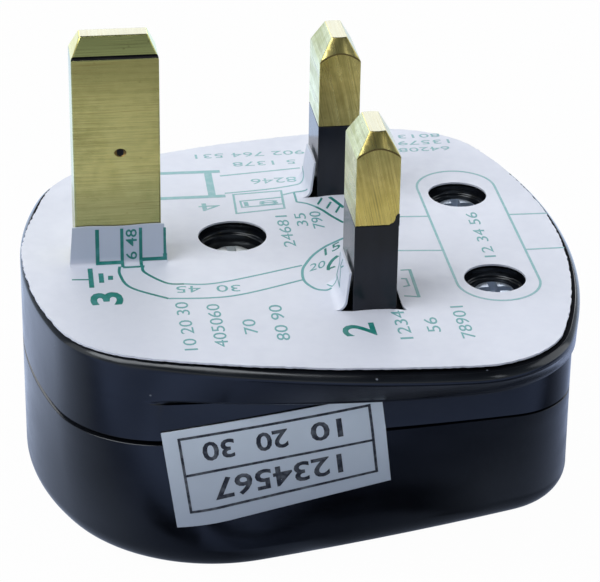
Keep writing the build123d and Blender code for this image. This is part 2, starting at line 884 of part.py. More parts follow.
def test_label():
    """The paper label stuck on the side wall, across the parting line."""
    layer = label_layer(label_gap + label_thickness) - label_layer(label_gap)
    window = Pos(label_from_earth - earth_end + label_width / 2, 0, label_centre_height)
    window = window * Rot(0, -label_tilt, 0) * Box(label_width, 2 * rim_half_width, label_height)
    front = block(
        -earth_end, wall_cord_end, -rim_half_width, -back_half_width / 2, 0, flange_foot_level
    )
    return layer & window & front


# Write every piece


def write(node, piece):
    """Save one piece as a node of the plug."""
    export_step(piece, "parts/" + node + ".step")


write("base", base())
write("cover", cover())
write("earth_pin", Pos(earth_x, 0, 0) * (earth_blade() + pillar(earth_pillar_x, earth_pillar_y)))
write("neutral_pin", Pos(0, neutral_y, 0) * (side_blade() + pillar(side_pillar_x, side_pillar_y)))
write("line_pin", line_pin())
write("neutral_sleeve", Pos(0, neutral_y, 0) * sleeve())
write("line_sleeve", Pos(0, line_y, 0) * sleeve())
write("earth_terminal_screw", Pos(earth_x, 0, 0) * terminal_screw())
write("neutral_terminal_screw", Pos(0, neutral_y, 0) * terminal_screw())
write("line_terminal_screw", Pos(line_block_x, line_block_y, 0) * terminal_screw())
write("line_terminal", line_terminal())
write("fuse_clip_pin_end", fuse_clip(pin_cap_x, -1))
write("fuse_clip_terminal_end", fuse_clip(terminal_cap_x, 1))
write("fuse_clip_rivets", Compound([rivet(pin_rivet_x), rivet(terminal_rivet_x)]))
write("fuse_body", fuse_body())
write("fuse_cap_pin_end", fuse_cap(pin_cap_x, 1))
write("fuse_cap_terminal_end", fuse_cap(terminal_cap_x, -1))
write("cord_grip_bar", grip_bar())
write("cord_grip_screws", Compound(pair(grip_screw())))
write("cord_grip_nuts", Compound(pair(grip_nut())))
write("cover_screw", cover_screw())
write("cover_screw_washer", cover_screw_washer())
write("cover_insert", cover_insert())
write("instruction_card", instruction_card())
write("test_label", test_label())
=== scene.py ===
import json
import math
from functools import partial

import bmesh
import bpy
from bpy.props import FloatProperty, FloatVectorProperty, PointerProperty
from mathutils import Matrix, Vector, noise
from mathutils.bvhtree import BVHTree
from mathutils.geometry import convex_hull_2d, delaunay_2d_cdt


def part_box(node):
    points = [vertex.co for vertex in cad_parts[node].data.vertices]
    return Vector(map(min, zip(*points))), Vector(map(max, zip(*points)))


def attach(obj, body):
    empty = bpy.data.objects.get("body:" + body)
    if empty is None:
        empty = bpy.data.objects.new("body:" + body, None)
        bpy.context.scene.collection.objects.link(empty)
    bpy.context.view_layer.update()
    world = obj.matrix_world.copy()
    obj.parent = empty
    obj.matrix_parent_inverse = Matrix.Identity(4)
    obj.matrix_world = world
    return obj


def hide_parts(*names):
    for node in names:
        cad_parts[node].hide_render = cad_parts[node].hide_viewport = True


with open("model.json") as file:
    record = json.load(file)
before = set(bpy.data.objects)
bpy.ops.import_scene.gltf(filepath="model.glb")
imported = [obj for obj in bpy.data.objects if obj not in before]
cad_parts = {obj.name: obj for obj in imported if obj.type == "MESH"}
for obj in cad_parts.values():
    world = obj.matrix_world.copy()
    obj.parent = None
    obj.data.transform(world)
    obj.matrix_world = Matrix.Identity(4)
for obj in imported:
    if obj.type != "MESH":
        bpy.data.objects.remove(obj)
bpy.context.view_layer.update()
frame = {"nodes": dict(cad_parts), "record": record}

bl_info = {
    "name": "Three-pin plug",
    "version": (1, 0, 0),
    "blender": (4, 5, 0),
    "location": "3D View > Sidebar > Plug",
    "description": "Dresses the packed plug with its moulded body, brass pins, printed card and label",
    "category": "Object",
}

# Levels and places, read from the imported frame
MM = 0.001
BASE_LOW, BASE_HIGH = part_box("base")
LABEL_LOW, LABEL_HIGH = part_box("test_label")
SCREW_LOW, SCREW_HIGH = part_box("cover_screw")
CARD_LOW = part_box("instruction_card")[0]
EARTH_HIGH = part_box("earth_pin")[1]
SIDE_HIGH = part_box("line_pin")[1]
FRONT_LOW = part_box("line_sleeve")[0]
PIN_FACE = BASE_HIGH.z
PARTING = BASE_LOW.z
COVER_SCREW = ((SCREW_LOW + SCREW_HIGH) / 2).xy

# The pins, the cord-grip screws and the cord's inlet, as in the solids
EARTH_MIDDLE = -22.23 * MM
EARTH_FRONT = -2.0 * MM
EARTH_SHOULDER = EARTH_HIGH.z - 1.97 * MM
ROW_HALF = 11.115 * MM
GRIP_SCREWS = (Vector((12.2, -9.15)) * MM, Vector((12.2, 9.15)) * MM)
INLET_MIDDLE = Vector((22.0 * MM, 0.0, PARTING))
INLET_RADIUS = 4.2 * MM
INLET_LENGTH = 8.0 * MM
ROUND_SIDES = 96

# The marks on the earth pin
PIT = Vector((-21.9, -2.0, 33.6)) * MM
PIT_RADIUS = 0.48 * MM
PIT_DARK = 0.36 * MM
PIT_HALO = 0.60 * MM
GROOVE = Vector((EARTH_MIDDLE, EARTH_FRONT + 0.12 * MM, EARTH_SHOULDER + 0.22 * MM))
GROOVE_SIDE = 0.34 * MM
# The least upward share of a face's normal on the flat top of a pin
FLAT_TOP = 0.9

# Outlines are drawn at even bearings round a middle, and kept just inside the solids' own
RING_MIDDLE = Vector((-5.2, 0.0)) * MM
RING_POINTS = 480
RING_SMOOTHING = 4
SKIN = 0.006 * MM
NEAR = 2e-6
# The least turn between two faces at an edge that is rounded over
CRISP_ANGLE = math.radians(20.0)
# How far inside the walls' outlines the solids' own insides are taken over
INSIDE_DEPTH = 1.1 * MM
# Half of each pin's slot in the pin face, along and across the plug
EARTH_SLOT = (4.1 * MM, 2.1 * MM)
SIDE_SLOT = (2.1 * MM, 3.275 * MM)


def length(name, description, millimetres):
    """A length property with its default in millimetres."""
    return FloatProperty(name=name, description=description, default=millimetres * MM,
                         unit="LENGTH", subtype="DISTANCE", precision=5)


def colour(name, description, default):
    """A colour property."""
    return FloatVectorProperty(name=name, description=description, default=default,
                               subtype="COLOR", size=3, min=0.0, max=1.0)


def share(name, description, default):
    """A plain number between nought and one."""
    return FloatProperty(name=name, description=description, default=default,
                         min=0.0, max=1.0, subtype="FACTOR")


def angle(name, description, degrees):
    """An angle property with its default in degrees."""
    return FloatProperty(name=name, description=description, default=math.radians(degrees),
                         unit="ROTATION", subtype="ANGLE")


def power(name, description, watts):
    """A light's power."""
    return FloatProperty(name=name, description=description, default=watts, unit="POWER")


def number(name, description, default):
    """A plain number."""
    return FloatProperty(name=name, description=description, default=default)


class PlugBodySettings(bpy.types.PropertyGroup):
    """Sizes and colours of the two black mouldings."""
    moulding_colour: colour("Moulding", "Colour of the glossy black moulding", (0.0045, 0.0055, 0.0085))
    dust_colour: colour("Dust", "Colour of the dust specks on it", (0.16, 0.18, 0.22))
    gloss: share("Roughness", "Roughness of the clean moulding", 0.16)
    back_round: length("Back rounding", "Radius round the back edge of the cover", 2.65)
    rim_round: length("Rim rounding", "Radius round the pin face", 0.45)
    foot_round: length("Foot rounding", "Radius under the flange", 0.35)
    groove_height: length("Groove height", "Height of the parting groove", 0.44)
    groove_depth: length("Groove depth", "Depth of the parting groove", 0.6)
    undercut_height: length("Undercut height", "Height of the shadow line under the flange", 0.22)
    undercut_depth: length("Undercut depth", "Depth of the shadow line under the flange", 0.30)
    bore_lead: length("Bore lead", "Depth of the wide part of each screw's bore", 0.85)
    bore_step: length("Bore step", "How much narrower the bore is below that", 0.35)
    cover_bore: length("Cover screw bore", "Radius of the cover screw's bore", 3.27)
    grip_bore: length("Grip screw bore", "Radius of the cord-grip screws' bores", 2.87)


class PlugPinSettings(bpy.types.PropertyGroup):
    """Sizes and colours of the pins and their sleeves."""
    brass_colour: colour("Brass", "Colour of clean brass", (0.72, 0.68, 0.29))
    tarnish_colour: colour("Tarnish", "Colour of dulled brass", (0.52, 0.50, 0.19))
    sawn_colour: colour("Sawn brass", "Colour of the sawn ends of the side pins", (0.78, 0.66, 0.25))
    stain_colour: colour("Stained brass", "Colour of the dulled parts of those ends", (0.50, 0.41, 0.13))
    streak_colour: colour("Streaks", "Colour of the dark streaks on the sawn ends", (0.27, 0.21, 0.07))
    pit_colour: colour("Pit", "Colour of the small pit in the earth pin", (0.04, 0.04, 0.045))
    # painted shade: the pins' brass is darkened with this colour towards their ends
    shade_colour: colour("Shaded brass", "Colour of the brass near its ends", (0.32, 0.31, 0.125))
    # the golder brass mixed in towards the front pin's foot
    gold_colour: colour("Golden brass", "Colour of the front pin where it is rubbed", (1.0, 0.80, 0.22))
    # painted highlight on the side pins' left flanks
    flank_highlight_colour: colour("Flank highlight", "Colour of the side pins' pale flanks", (0.78, 0.75, 0.40))
    # painted shade on the pins' flat ends
    end_shade_colour: colour("Shaded pin ends", "Colour of the pale ends of the pins", (0.36, 0.355, 0.27))
    # painted light: a lighter brass on the earth pin's top bevels
    lit_bevel_colour: colour("Lit bevel brass", "Colour of the earth pin's front bevel", (0.72, 0.73, 0.27))
    # painted highlight on the earth pin's left bevel
    left_highlight_colour: colour("Left bevel highlight", "Colour of the earth pin's left bevel", (0.80, 0.67, 0.21))
    # painted shade: the dark line under the side pins' bevels
    shade_line_colour: colour("Line", "Colour of the line under the side pins' bevels", (0.20, 0.15, 0.06))
    halo_colour: colour("Halo", "Colour of the brass round the pit", (0.30, 0.20, 0.07))
    edge_round: length("Pin edges", "Rounding of the blades' edges", 0.14)
    sleeve_colour: colour("Sleeve", "Colour of the insulating sleeves", (0.007, 0.009, 0.014))
    sleeve_edge: length("Sleeve edges", "Rounding of the sleeves' edges", 0.08)


class PlugScrewSettings(bpy.types.PropertyGroup):
    """Sizes and colours of the screws that show in the pin face."""
    # painted light: the cover screw's plate is near white so that its head looks lit in its deep bore
    lit_zinc_colour: colour("Zinc", "Colour of the cover screw's zinc plate", (0.93, 0.97, 1.0))
    dull_colour: colour("Dull zinc", "Colour of the cord-grip screws' zinc plate", (0.54, 0.61, 0.72))
    edge_round: length("Screw edges", "Rounding of the heads' edges", 0.06)


class PlugCardSettings(bpy.types.PropertyGroup):
    """Sizes and colours of the printed card."""
    card_colour: colour("Card", "Colour of the card", (0.68, 0.71, 0.81))
    shade_colour: colour("Card shade", "Colour of the card where it is handled", (0.57, 0.60, 0.70))
    # painted shade on the upright earth flap
    flap_shade_colour: colour("Earth flap", "Colour of the flap at the earth pin", (0.53, 0.58, 0.69))
    ink_colour: colour("Ink", "Colour of the green print", (0.002, 0.19, 0.16))
    thin_colour: colour("Thin ink", "Colour of the finer print", (0.08, 0.32, 0.34))
    pale_colour: colour("Pale ink", "Colour of the worn print", (0.17, 0.41, 0.44))
    thickness: length("Thickness", "Thickness of the card", 0.18)
    stand: length("Stand", "Height of the card's face over the pin face", 0.30)
    back_lift: length("Back lift", "How far the card has lifted round the back pin", 1.3)
    front_lift: length("Front lift", "How far the card has lifted in front of the front pin", 0.15)
    bend: length("Fold", "Inside radius of a fold", 0.3)
    side_bend: length("Side folds", "Inside radius of the folds at the other pins", 1.0)
    earth_flap: length("Earth flap", "Height of the flap at the earth pin", 4.05)
    side_flap: length("Side flaps", "Height of the flaps at the other pins", 4.5)
    wave: length("Waviness", "How far the card bows off the pin face", 0.12)
    slip: length("Slip", "How far the card has slipped towards the earth end", 0.68)
    rag: length("Ragged edge", "Unevenness of the cut edge", 0.10)
    ink_height: length("Ink height", "Height of the print above the card", 0.014)


class PlugLabelSettings(bpy.types.PropertyGroup):
    """Sizes and colours of the label on the side."""
    paper_colour: colour("Paper", "Colour of the label's paper", (0.80, 0.89, 1.0))
    # painted shade towards the label's lower edge
    lower_shade_colour: colour("Shaded paper", "Colour of the paper towards its lower edge", (0.44, 0.50, 0.60))
    print_colour: colour("Print", "Colour of the label's print", (0.014, 0.016, 0.026))
    width: length("Width", "Width of the label", 20.0)
    height: length("Height", "Height of the label", 10.0)
    thickness: length("Thickness", "Thickness of the label", 0.08)
    tilt: angle("Tilt", "How far the label is stuck on askew", 8.0)


class PlugInsideSettings(bpy.types.PropertyGroup):
    """Colours of the parts inside the body."""
    bronze_colour: colour("Clips", "Colour of the fuse clips", (0.50, 0.33, 0.15))
    ceramic_colour: colour("Fuse", "Colour of the fuse's barrel", (0.78, 0.76, 0.70))
    cap_colour: colour("Caps", "Colour of the fuse's caps", (0.62, 0.62, 0.60))
    grip_colour: colour("Cord grip", "Colour of the cord grip and the washer", (0.24, 0.23, 0.21))


class PlugStageSettings(bpy.types.PropertyGroup):
    """The camera, the floor and the studio light."""
    azimuth: angle("Azimuth", "The camera's bearing", -8.474)
    elevation: angle("Elevation", "The camera's height as an angle", 27.223)
    roll: angle("Roll", "The camera's tilt", 0.897)
    distance: length("Distance", "How far the camera is from its target", 264.168)
    target: FloatVectorProperty(name="Target", description="The point that the camera looks at", size=3,
                                subtype="TRANSLATION", unit="LENGTH",
                                default=(-3.890 * MM, 5.690 * MM, 14.361 * MM))
    lens: number("Lens", "The camera's focal length in millimetres", 161.07)
    floor_colour: colour("Floor", "Colour of the floor", (0.56, 0.57, 0.60))
    mirror_colour: colour("Mirrored floor", "Colour of the floor as gloss shows it", (0.64, 0.75, 1.0))
    front_colour: colour("Mirrored floor in front", "Colour of that floor near the plug", (0.47, 0.60, 1.0))
    back_colour: colour("Mirrored floor behind", "Colour of that floor behind the plug", (0.64, 0.77, 1.0))
    far_colour: colour("Mirrored floor far off", "Colour of that floor farther in front", (1.0, 1.0, 0.94))
    sky_colour: colour("Room", "Colour of the light from all round", (0.76, 0.87, 1.0))
    sky_strength: number("Room light", "Strength of the light from all round, low down", 0.33)
    skyline_share: number("Skyline", "How much brighter that light is at the horizon", 1.6)
    zenith_strength: number("Room light overhead", "Strength of that light straight up", 0.06)
    top_power: power("Top light", "Power of the soft light overhead", 1.9)
    back_power: power("Back light", "Power of the soft light behind", 2.5)
    left_power: power("Left light", "Power of the soft light at the earth end", 0.40)
    strip_power: power("Strip light", "Power of the narrow light in front", 0.20)
    right_power: power("Right light", "Power of the soft light at the cord end", 0.6)


# Small helpers for objects and meshes

def add_object(name, data):
    """Put a mesh, a camera, a light or a text into the scene."""
    made = bpy.data.objects.new(name, data)
    bpy.context.scene.collection.objects.link(made)
    return made


def discard(thing):
    """Take a helper object and its mesh out of the file."""
    mesh = thing.data
    bpy.data.objects.remove(thing)
    bpy.data.meshes.remove(mesh)


def to_object(name, bm):
    """Make an object from a bmesh and free it."""
    mesh = bpy.data.meshes.new(name)
    bm.to_mesh(mesh)
    bm.free()
    return add_object(name, mesh)


def finish_piece(piece, materials, replaced=(), crease=28.0):
    """Shade a piece, give it its materials and hang it on the frame."""
    mesh = piece.data
    mesh.materials.clear()
    for material in materials:
        mesh.materials.append(material)
    mesh.shade_smooth()
    mesh.set_sharp_from_angle(angle=math.radians(crease))
    even = piece.modifiers.new("even shading", "WEIGHTED_NORMAL")
    even.keep_sharp = True
    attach(piece, "root")
    if replaced:
        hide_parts(*replaced)
    return piece


def settle(piece):
    """Make what a piece's modifiers show its own mesh."""
    graph = bpy.context.evaluated_depsgraph_get()
    result = bpy.data.meshes.new_from_object(piece.evaluated_get(graph))
    piece.modifiers.clear()
    old = piece.data
    piece.data = result
    bpy.data.meshes.remove(old)


def carve(body, cutter):
    """Cut one mesh object with another and drop the cutter."""
    cut = body.modifiers.new("carve", "BOOLEAN")
    cut.object = cutter
    cut.operation = "DIFFERENCE"
    cut.solver = "EXACT"
    settle(body)
    discard(cutter)


def thicken(piece, amount):
    """Give a sheet its thickness, away from its face."""
    thick = piece.modifiers.new("thickness", "SOLIDIFY")
    thick.thickness = amount
    thick.offset = -1.0
    settle(piece)


def held(value):
    """A number kept between nought and one."""
    return min(1.0, max(0.0, value))


def welded(node):
    """A bmesh copy of a CAD node with its seams welded."""
    bm = bmesh.new()
    bm.from_mesh(frame["nodes"][node].data)
    bmesh.ops.remove_doubles(bm, verts=bm.verts, dist=NEAR)
    return bm


def edged_copy(name, node, edge, above):
    """A copy of a CAD node whose crisp edges above a level are rounded over."""
    bm = welded(node)
    bmesh.ops.dissolve_limit(bm, angle_limit=math.radians(0.4), verts=bm.verts, edges=bm.edges)
    crisp = [e for e in bm.edges
             if len(e.link_faces) == 2 and e.calc_face_angle(0.0) > CRISP_ANGLE
             and max(v.co.z for v in e.verts) > above]
    bmesh.ops.bevel(bm, geom=crisp, offset=edge, offset_type="OFFSET", segments=3,
                    profile=0.5, affect="EDGES", clamp_overlap=True)
    return to_object(name, bm)


# Outlines and lofts of the body

def heading(bearing):
    """The direction at a bearing."""
    return Vector((math.cos(bearing), math.sin(bearing)))


def circle_loop(middle, radius, count):
    """A round outline."""
    return [Vector(middle) + radius * heading(2.0 * math.pi * k / count) for k in range(count)]


def outer_ring(node, *levels):
    """A node's outside outline over one or more levels, at even bearings round the body's middle."""
    found = set()
    for level in levels:
        bm = welded(node)
        cut = bmesh.ops.bisect_plane(bm, geom=[*bm.verts, *bm.edges, *bm.faces], dist=1e-8,
                                     plane_co=(0.0, 0.0, level), plane_no=(0.0, 0.0, 1.0))
        on_level = [v for v in cut["geom_cut"] if isinstance(v, bmesh.types.BMVert)]
        on_level += [v for v in bm.verts if abs(v.co.z - level) < NEAR]
        found |= {(round(v.co.x, 7), round(v.co.y, 7)) for v in on_level}
        bm.free()
    points = [Vector(p) for p in sorted(found)]
    hull = [points[i] - RING_MIDDLE for i in convex_hull_2d(points)]
    corners = sorted((math.atan2(p.y, p.x), p.length) for p in hull)
    bearings = [-math.pi + 2.0 * math.pi * k / RING_POINTS for k in range(RING_POINTS)]
    reach = []
    for bearing in bearings:
        after = next((i for i, corner in enumerate(corners) if corner[0] > bearing), 0)
        a, b = (heading(turn) * far for turn, far in (corners[after - 1], corners[after]))
        reach.append(a.cross(b - a) / heading(bearing).cross(b - a))
    for _ in range(RING_SMOOTHING):
        reach = [0.25 * reach[k - 1] + 0.5 * reach[k] + 0.25 * reach[(k + 1) % RING_POINTS]
                 for k in range(RING_POINTS)]
    return [RING_MIDDLE + heading(bearing) * (far - SKIN) for bearing, far in zip(bearings, reach)]


def ring_normals(ring):
    """The outward directions round an outline."""
    out = []
    for k in range(len(ring)):
        along = ring[(k + 1) % len(ring)] - ring[k - 1]
        out.append(Vector((along.y, -along.x)).normalized())
    return out


def at_level(ring, level, inset=0.0):
    """An outline drawn in by an amount, or by one amount for each point, at a level."""
    insets = inset if isinstance(inset, list) else [inset] * len(ring)
    return [(p - n * d).to_3d() + Vector((0.0, 0.0, level))
            for p, n, d in zip(ring, ring_normals(ring), insets)]


def rounding(ring, level, radius, steps):
    """Rings of a quarter round that starts at a level and turns in on its way down."""
    made = []
    for k in range(1, steps + 1):
        turn = 0.5 * math.pi * k / steps
        made.append(at_level(ring, level - radius * math.sin(turn), radius * (1.0 - math.cos(turn))))
    return made


def loft(name, rings):
    """A closed solid through a stack of rings."""
    bm = bmesh.new()
    rows = [[bm.verts.new(p) for p in ring] for ring in rings]
    count = len(rows[0])
    for low, high in zip(rows, rows[1:]):
        for k in range(count):
            after = (k + 1) % count
            bm.faces.new((low[k], low[after], high[after], high[k]))
    bm.faces.new(rows[0][::-1])
    bm.faces.new(rows[-1])
    bmesh.ops.recalc_face_normals(bm, faces=bm.faces)
    return to_object(name, bm)


def inner_space(node, ring, low, high, depth):
    """What is empty inside a node, within an outline and between two levels."""
    space = loft("space", [at_level(ring, low, depth), at_level(ring, high, depth)])
    carve(space, to_object("cutter", welded(node)))
    return space


def bore_cutter(middle, radius, looks, foot):
    """A screw's stepped bore, with the edges of its step softened."""
    step = PIN_FACE - looks.bore_lead
    narrow = radius - looks.bore_step
    soft = 0.10 * MM
    profile = ((narrow, foot), (narrow, step - soft), (narrow + soft, step),
               (radius - soft, step), (radius, step + soft), (radius, PIN_FACE + 1.0 * MM))
    return loft("cutter", [[(*p, level) for p in circle_loop(middle, reach, ROUND_SIDES)]
                           for reach, level in profile])


def box_cutter(low, high):
    """An upright block to cut a pin's slot with."""
    bm = bmesh.new()
    size = Vector(high) - Vector(low)
    middle = (Vector(high) + Vector(low)) / 2
    bmesh.ops.create_cube(bm, size=1.0, matrix=Matrix.Translation(middle) @ Matrix.Diagonal((*size, 1.0)))
    return to_object("cutter", bm)


def inlet_cutter():
    """A lying cylinder for the cord's inlet."""
    bm = bmesh.new()
    turn = Matrix.Rotation(math.radians(90.0), 4, "Y")
    bmesh.ops.create_cone(bm, cap_ends=True, segments=ROUND_SIDES, radius1=INLET_RADIUS, radius2=INLET_RADIUS,
                          depth=INLET_LENGTH, matrix=Matrix.Translation(INLET_MIDDLE) @ turn)
    return to_object("cutter", bm)


# Materials

# The slope of the saw's lines on the side pins
SAW_SLOPE = math.radians(-78.0)


class Nodes:
    """Short calls for building a node tree."""

    def __init__(self, tree):
        self.tree = tree

    def feed(self, socket, value):
        """Link a pattern to a socket, or set the socket itself."""
        if isinstance(value, bpy.types.NodeSocket):
            self.tree.links.new(value, socket)
        else:
            socket.default_value = value

    def add(self, kind, inputs=None, **settings):
        """A node with its settings made and its sockets fed."""
        made = self.tree.nodes.new(kind)
        for key, value in settings.items():
            setattr(made, key, value)
        for key, value in (inputs or {}).items():
            self.feed(made.inputs[key], value)
        return made

    def ramp(self, value, low, high, start=0.0, end=1.0):
        """A value's range mapped onto another, with its ends held."""
        return self.add("ShaderNodeMapRange", {"Value": value, "From Min": low, "From Max": high,
                                               "To Min": start, "To Max": end}).outputs[0]

    def joined(self, operation, patterns):
        """Patterns put together one after another."""
        whole = patterns[0]
        for other in patterns[1:]:
            whole = self.add("ShaderNodeMath", {0: whole, 1: other}, operation=operation).outputs[0]
        return whole

    def times(self, *patterns):
        """Patterns multiplied together."""
        return self.joined("MULTIPLY", patterns)

    def plus(self, *patterns):
        """Patterns added together."""
        return self.joined("ADD", patterns)

    def most(self, *patterns):
        """The largest of some patterns."""
        return self.joined("MAXIMUM", patterns)


class Shader(Nodes):
    """Short calls for building one node material."""

    def __init__(self, name):
        self.material = bpy.data.materials.new(name)
        self.material.use_nodes = True
        super().__init__(self.material.node_tree)
        self.surface = self.tree.nodes["Principled BSDF"]
        self.place = self.add("ShaderNodeTexCoord").outputs["Object"]

    def put(self, **inputs):
        """Feed the surface's own sockets."""
        for key, value in inputs.items():
            self.feed(self.surface.inputs[key.replace("_", " ")], value)

    def stretched(self, scale, turn=(0.0, 0.0, 0.0)):
        """The object's coordinates, turned and then stretched."""
        turned = self.add("ShaderNodeMapping", {"Vector": self.place, "Rotation": turn}).outputs[0]
        return self.add("ShaderNodeMapping", {"Vector": turned, "Scale": scale}).outputs[0]

    def noise(self, scale, detail=2.0, place=None, roughness=0.5):
        """A noise pattern with its features per metre."""
        inputs = {"Vector": place or self.place, "Scale": scale, "Detail": detail, "Roughness": roughness}
        return self.add("ShaderNodeTexNoise", inputs).outputs["Fac"]

    def specks(self, scale, kept, edge, core):
        """Small round specks, at the share of scattered points that is kept."""
        made = self.add("ShaderNodeTexVoronoi", {"Vector": self.place, "Scale": scale}).outputs
        chance = self.add("ShaderNodeSeparateColor", {0: made["Color"]}).outputs[0]
        return self.times(self.ramp(made["Distance"], edge, core), self.ramp(chance, kept, kept + 0.02))

    def mix(self, share_of_second, first, second):
        """Two colours mixed by a pattern."""
        made = self.add("ShaderNodeMix", {"Factor": share_of_second}, data_type="RGBA")
        for key, value in ((6, first), (7, second)):
            self.feed(made.inputs[key], value if isinstance(value, bpy.types.NodeSocket) else (*value, 1.0))
        return made.outputs[2]

    def bump(self, height, depth, strength=1.0, under=None):
        """A bump whose height is in metres."""
        inputs = {"Height": height, "Distance": depth, "Strength": strength}
        if under is not None:
            inputs["Normal"] = under
        return self.add("ShaderNodeBump", inputs).outputs[0]

    def axis(self, name):
        """One of the object's coordinates in metres."""
        return self.add("ShaderNodeSeparateXYZ", {0: self.place}).outputs[name]

    def span(self, axis, low, high, start=0.0, end=1.0):
        """A ramp along a coordinate, between two places in millimetres."""
        return self.ramp(axis, low * MM, high * MM, start, end)


def darker(tone, part):
    """A colour with only part of its strength."""
    return tuple(part * c for c in tone)


def moulding_finish(looks):
    """Glossy black thermoset with faint smears, dust and a soft moulded skin."""
    made = Shader("glossy_black_moulding")
    smear = made.noise(190.0, 4.0, made.stretched((1.0, 1.0, 2.2)))
    speck = made.specks(620.0, 0.88, 0.075, 0.03)
    skin = made.mix(made.ramp(smear, 0.35, 0.7), darker(looks.moulding_colour, 0.6), looks.moulding_colour)
    made.put(Base_Color=made.mix(speck, skin, looks.dust_colour))
    dull = made.ramp(smear, 0.3, 0.75, looks.gloss - 0.04, looks.gloss + 0.09)
    pin_face = made.ramp(made.axis("Z"), PIN_FACE - 0.03 * MM, PIN_FACE - 0.01 * MM, 0.0, 0.9)
    made.put(Roughness=made.most(dull, pin_face, made.ramp(speck, 0.0, 1.0, 0.0, 0.7)))
    skin_bump = made.bump(made.noise(700.0, 2.0), 0.012 * MM, 0.6)
    made.put(Normal=made.bump(speck, 0.03 * MM, 0.8, skin_bump))
    made.put(Specular_IOR_Level=made.ramp(pin_face, 0.0, 0.9, 0.5, 0.06))
    made.put(IOR=1.55, Specular_Tint=(0.90, 0.95, 1.0, 1.0))
    return made.material


def brass_finish(name, clean, tarnish, streak, slope=SAW_SLOPE, pitch=80.0, depth=1.0, rough=0.22, tones=()):
    """Machined brass with tool lines at a slope, dulled patches, fine scratches and small pits.

    Each tone is a colour, the two levels in millimetres between which it sets in, and how strong it gets.
    """
    made = Shader(name)
    patch = made.noise(230.0, 4.0, made.stretched((1.0, 1.0, 0.7)))
    mottle = made.noise(1000.0, 4.0)
    lines = made.noise(46.0, 4.0, made.stretched((1.6, 1.6, pitch), (0.0, slope, 0.0)), 0.65)
    fine = made.noise(160.0, 3.0, made.stretched((1.0, 1.0, 0.55 * pitch), (0.0, slope, 0.0)), 0.6)
    pits = made.specks(2200.0, 0.93, 0.30, 0.12)
    cloud = made.plus(made.ramp(patch, 0.34, 0.66, 0.0, 0.6), made.ramp(mottle, 0.35, 0.68, -0.2, 0.35),
                      made.ramp(lines, 0.38, 0.62, -0.35, 0.5))
    base = made.mix(cloud, clean, tarnish)
    for tone, start, end, most in tones:
        base = made.mix(made.span(made.axis("Z"), start, end, 0.0, most), base, tone)
    dark = made.times(made.ramp(fine, 0.50, 0.66), made.ramp(patch, 0.35, 0.65, 0.5, 1.0),
                      made.ramp(lines, 0.35, 0.65, depth, 0.3 * depth))
    made.put(Base_Color=made.mix(made.most(dark, made.ramp(pits, 0.0, 1.0, 0.0, 0.5)), base, streak))
    made.put(Metallic=1.0)
    made.put(Roughness=made.plus(made.ramp(lines, 0.3, 0.7, rough, rough + 0.08),
                                 made.ramp(patch, 0.3, 0.7, 0.0, 0.06)))
    made.put(Normal=made.bump(lines, 0.003 * MM, 0.7))
    return made.material


def sleeve_finish(looks):
    """Satin black plastic with a fine grain and rubbed streaks."""
    made = Shader("satin_black_sleeve")
    rub = made.noise(240.0, 4.0, made.stretched((1.0, 1.0, 0.25)))
    rubbed = darker(looks.sleeve_colour, 2.0)
    made.put(Base_Color=made.mix(made.ramp(rub, 0.4, 0.75), looks.sleeve_colour, rubbed))
    made.put(Roughness=made.ramp(rub, 0.3, 0.7, 0.14, 0.22))
    made.put(Specular_IOR_Level=0.36)
    made.put(Normal=made.bump(made.noise(2600.0, 2.0), 0.003 * MM, 0.6))
    return made.material


def zinc_finish(name, tone):
    """Bright zinc plate with a fine ripple and darker stains."""
    made = Shader(name)
    stain = made.noise(420.0, 4.0)
    made.put(Base_Color=made.mix(made.ramp(stain, 0.45, 0.75), tone, darker(tone, 0.55)))
    made.put(Metallic=0.75)
    made.put(Roughness=made.ramp(stain, 0.3, 0.7, 0.30, 0.48))
    made.put(Normal=made.bump(made.noise(1600.0, 3.0), 0.010 * MM, 0.6))
    return made.material


def card_finish(looks):
    """Smooth off-white card with a faint fibre and handling marks, and painted shade that makes the earth
    pin's flap greyer.
    """
    made = Shader("smooth_off_white_card")
    mark = made.noise(120.0, 5.0)
    fibre = made.noise(1100.0, 4.0)
    tone = made.plus(made.ramp(mark, 0.45, 0.8, 0.0, 0.40), made.ramp(fibre, 0.4, 0.75, 0.0, 0.12))
    plain = made.mix(tone, looks.card_colour, looks.shade_colour)
    # painted shade: the card above the pin face at the earth flap is greyer
    folded = made.times(made.ramp(made.axis("Z"), PIN_FACE + 0.6 * MM, PIN_FACE + 1.2 * MM),
                        made.span(made.axis("X"), -15.0, -16.0))
    made.put(Base_Color=made.mix(folded, plain, looks.flap_shade_colour))
    made.put(Roughness=made.ramp(fibre, 0.3, 0.7, 0.42, 0.58))
    made.put(Normal=made.bump(fibre, 0.004 * MM, 0.5))
    return made.material


def ink_finish(name, strong, faint):
    """Printing ink that thins out in places."""
    made = Shader(name)
    worn = made.noise(1500.0, 3.0)
    made.put(Base_Color=made.mix(made.ramp(worn, 0.42, 0.72, 0.0, 0.55), strong, faint))
    made.put(Roughness=made.ramp(worn, 0.3, 0.7, 0.40, 0.55))
    made.put(Normal=made.bump(worn, 0.004 * MM, 0.5))
    return made.material


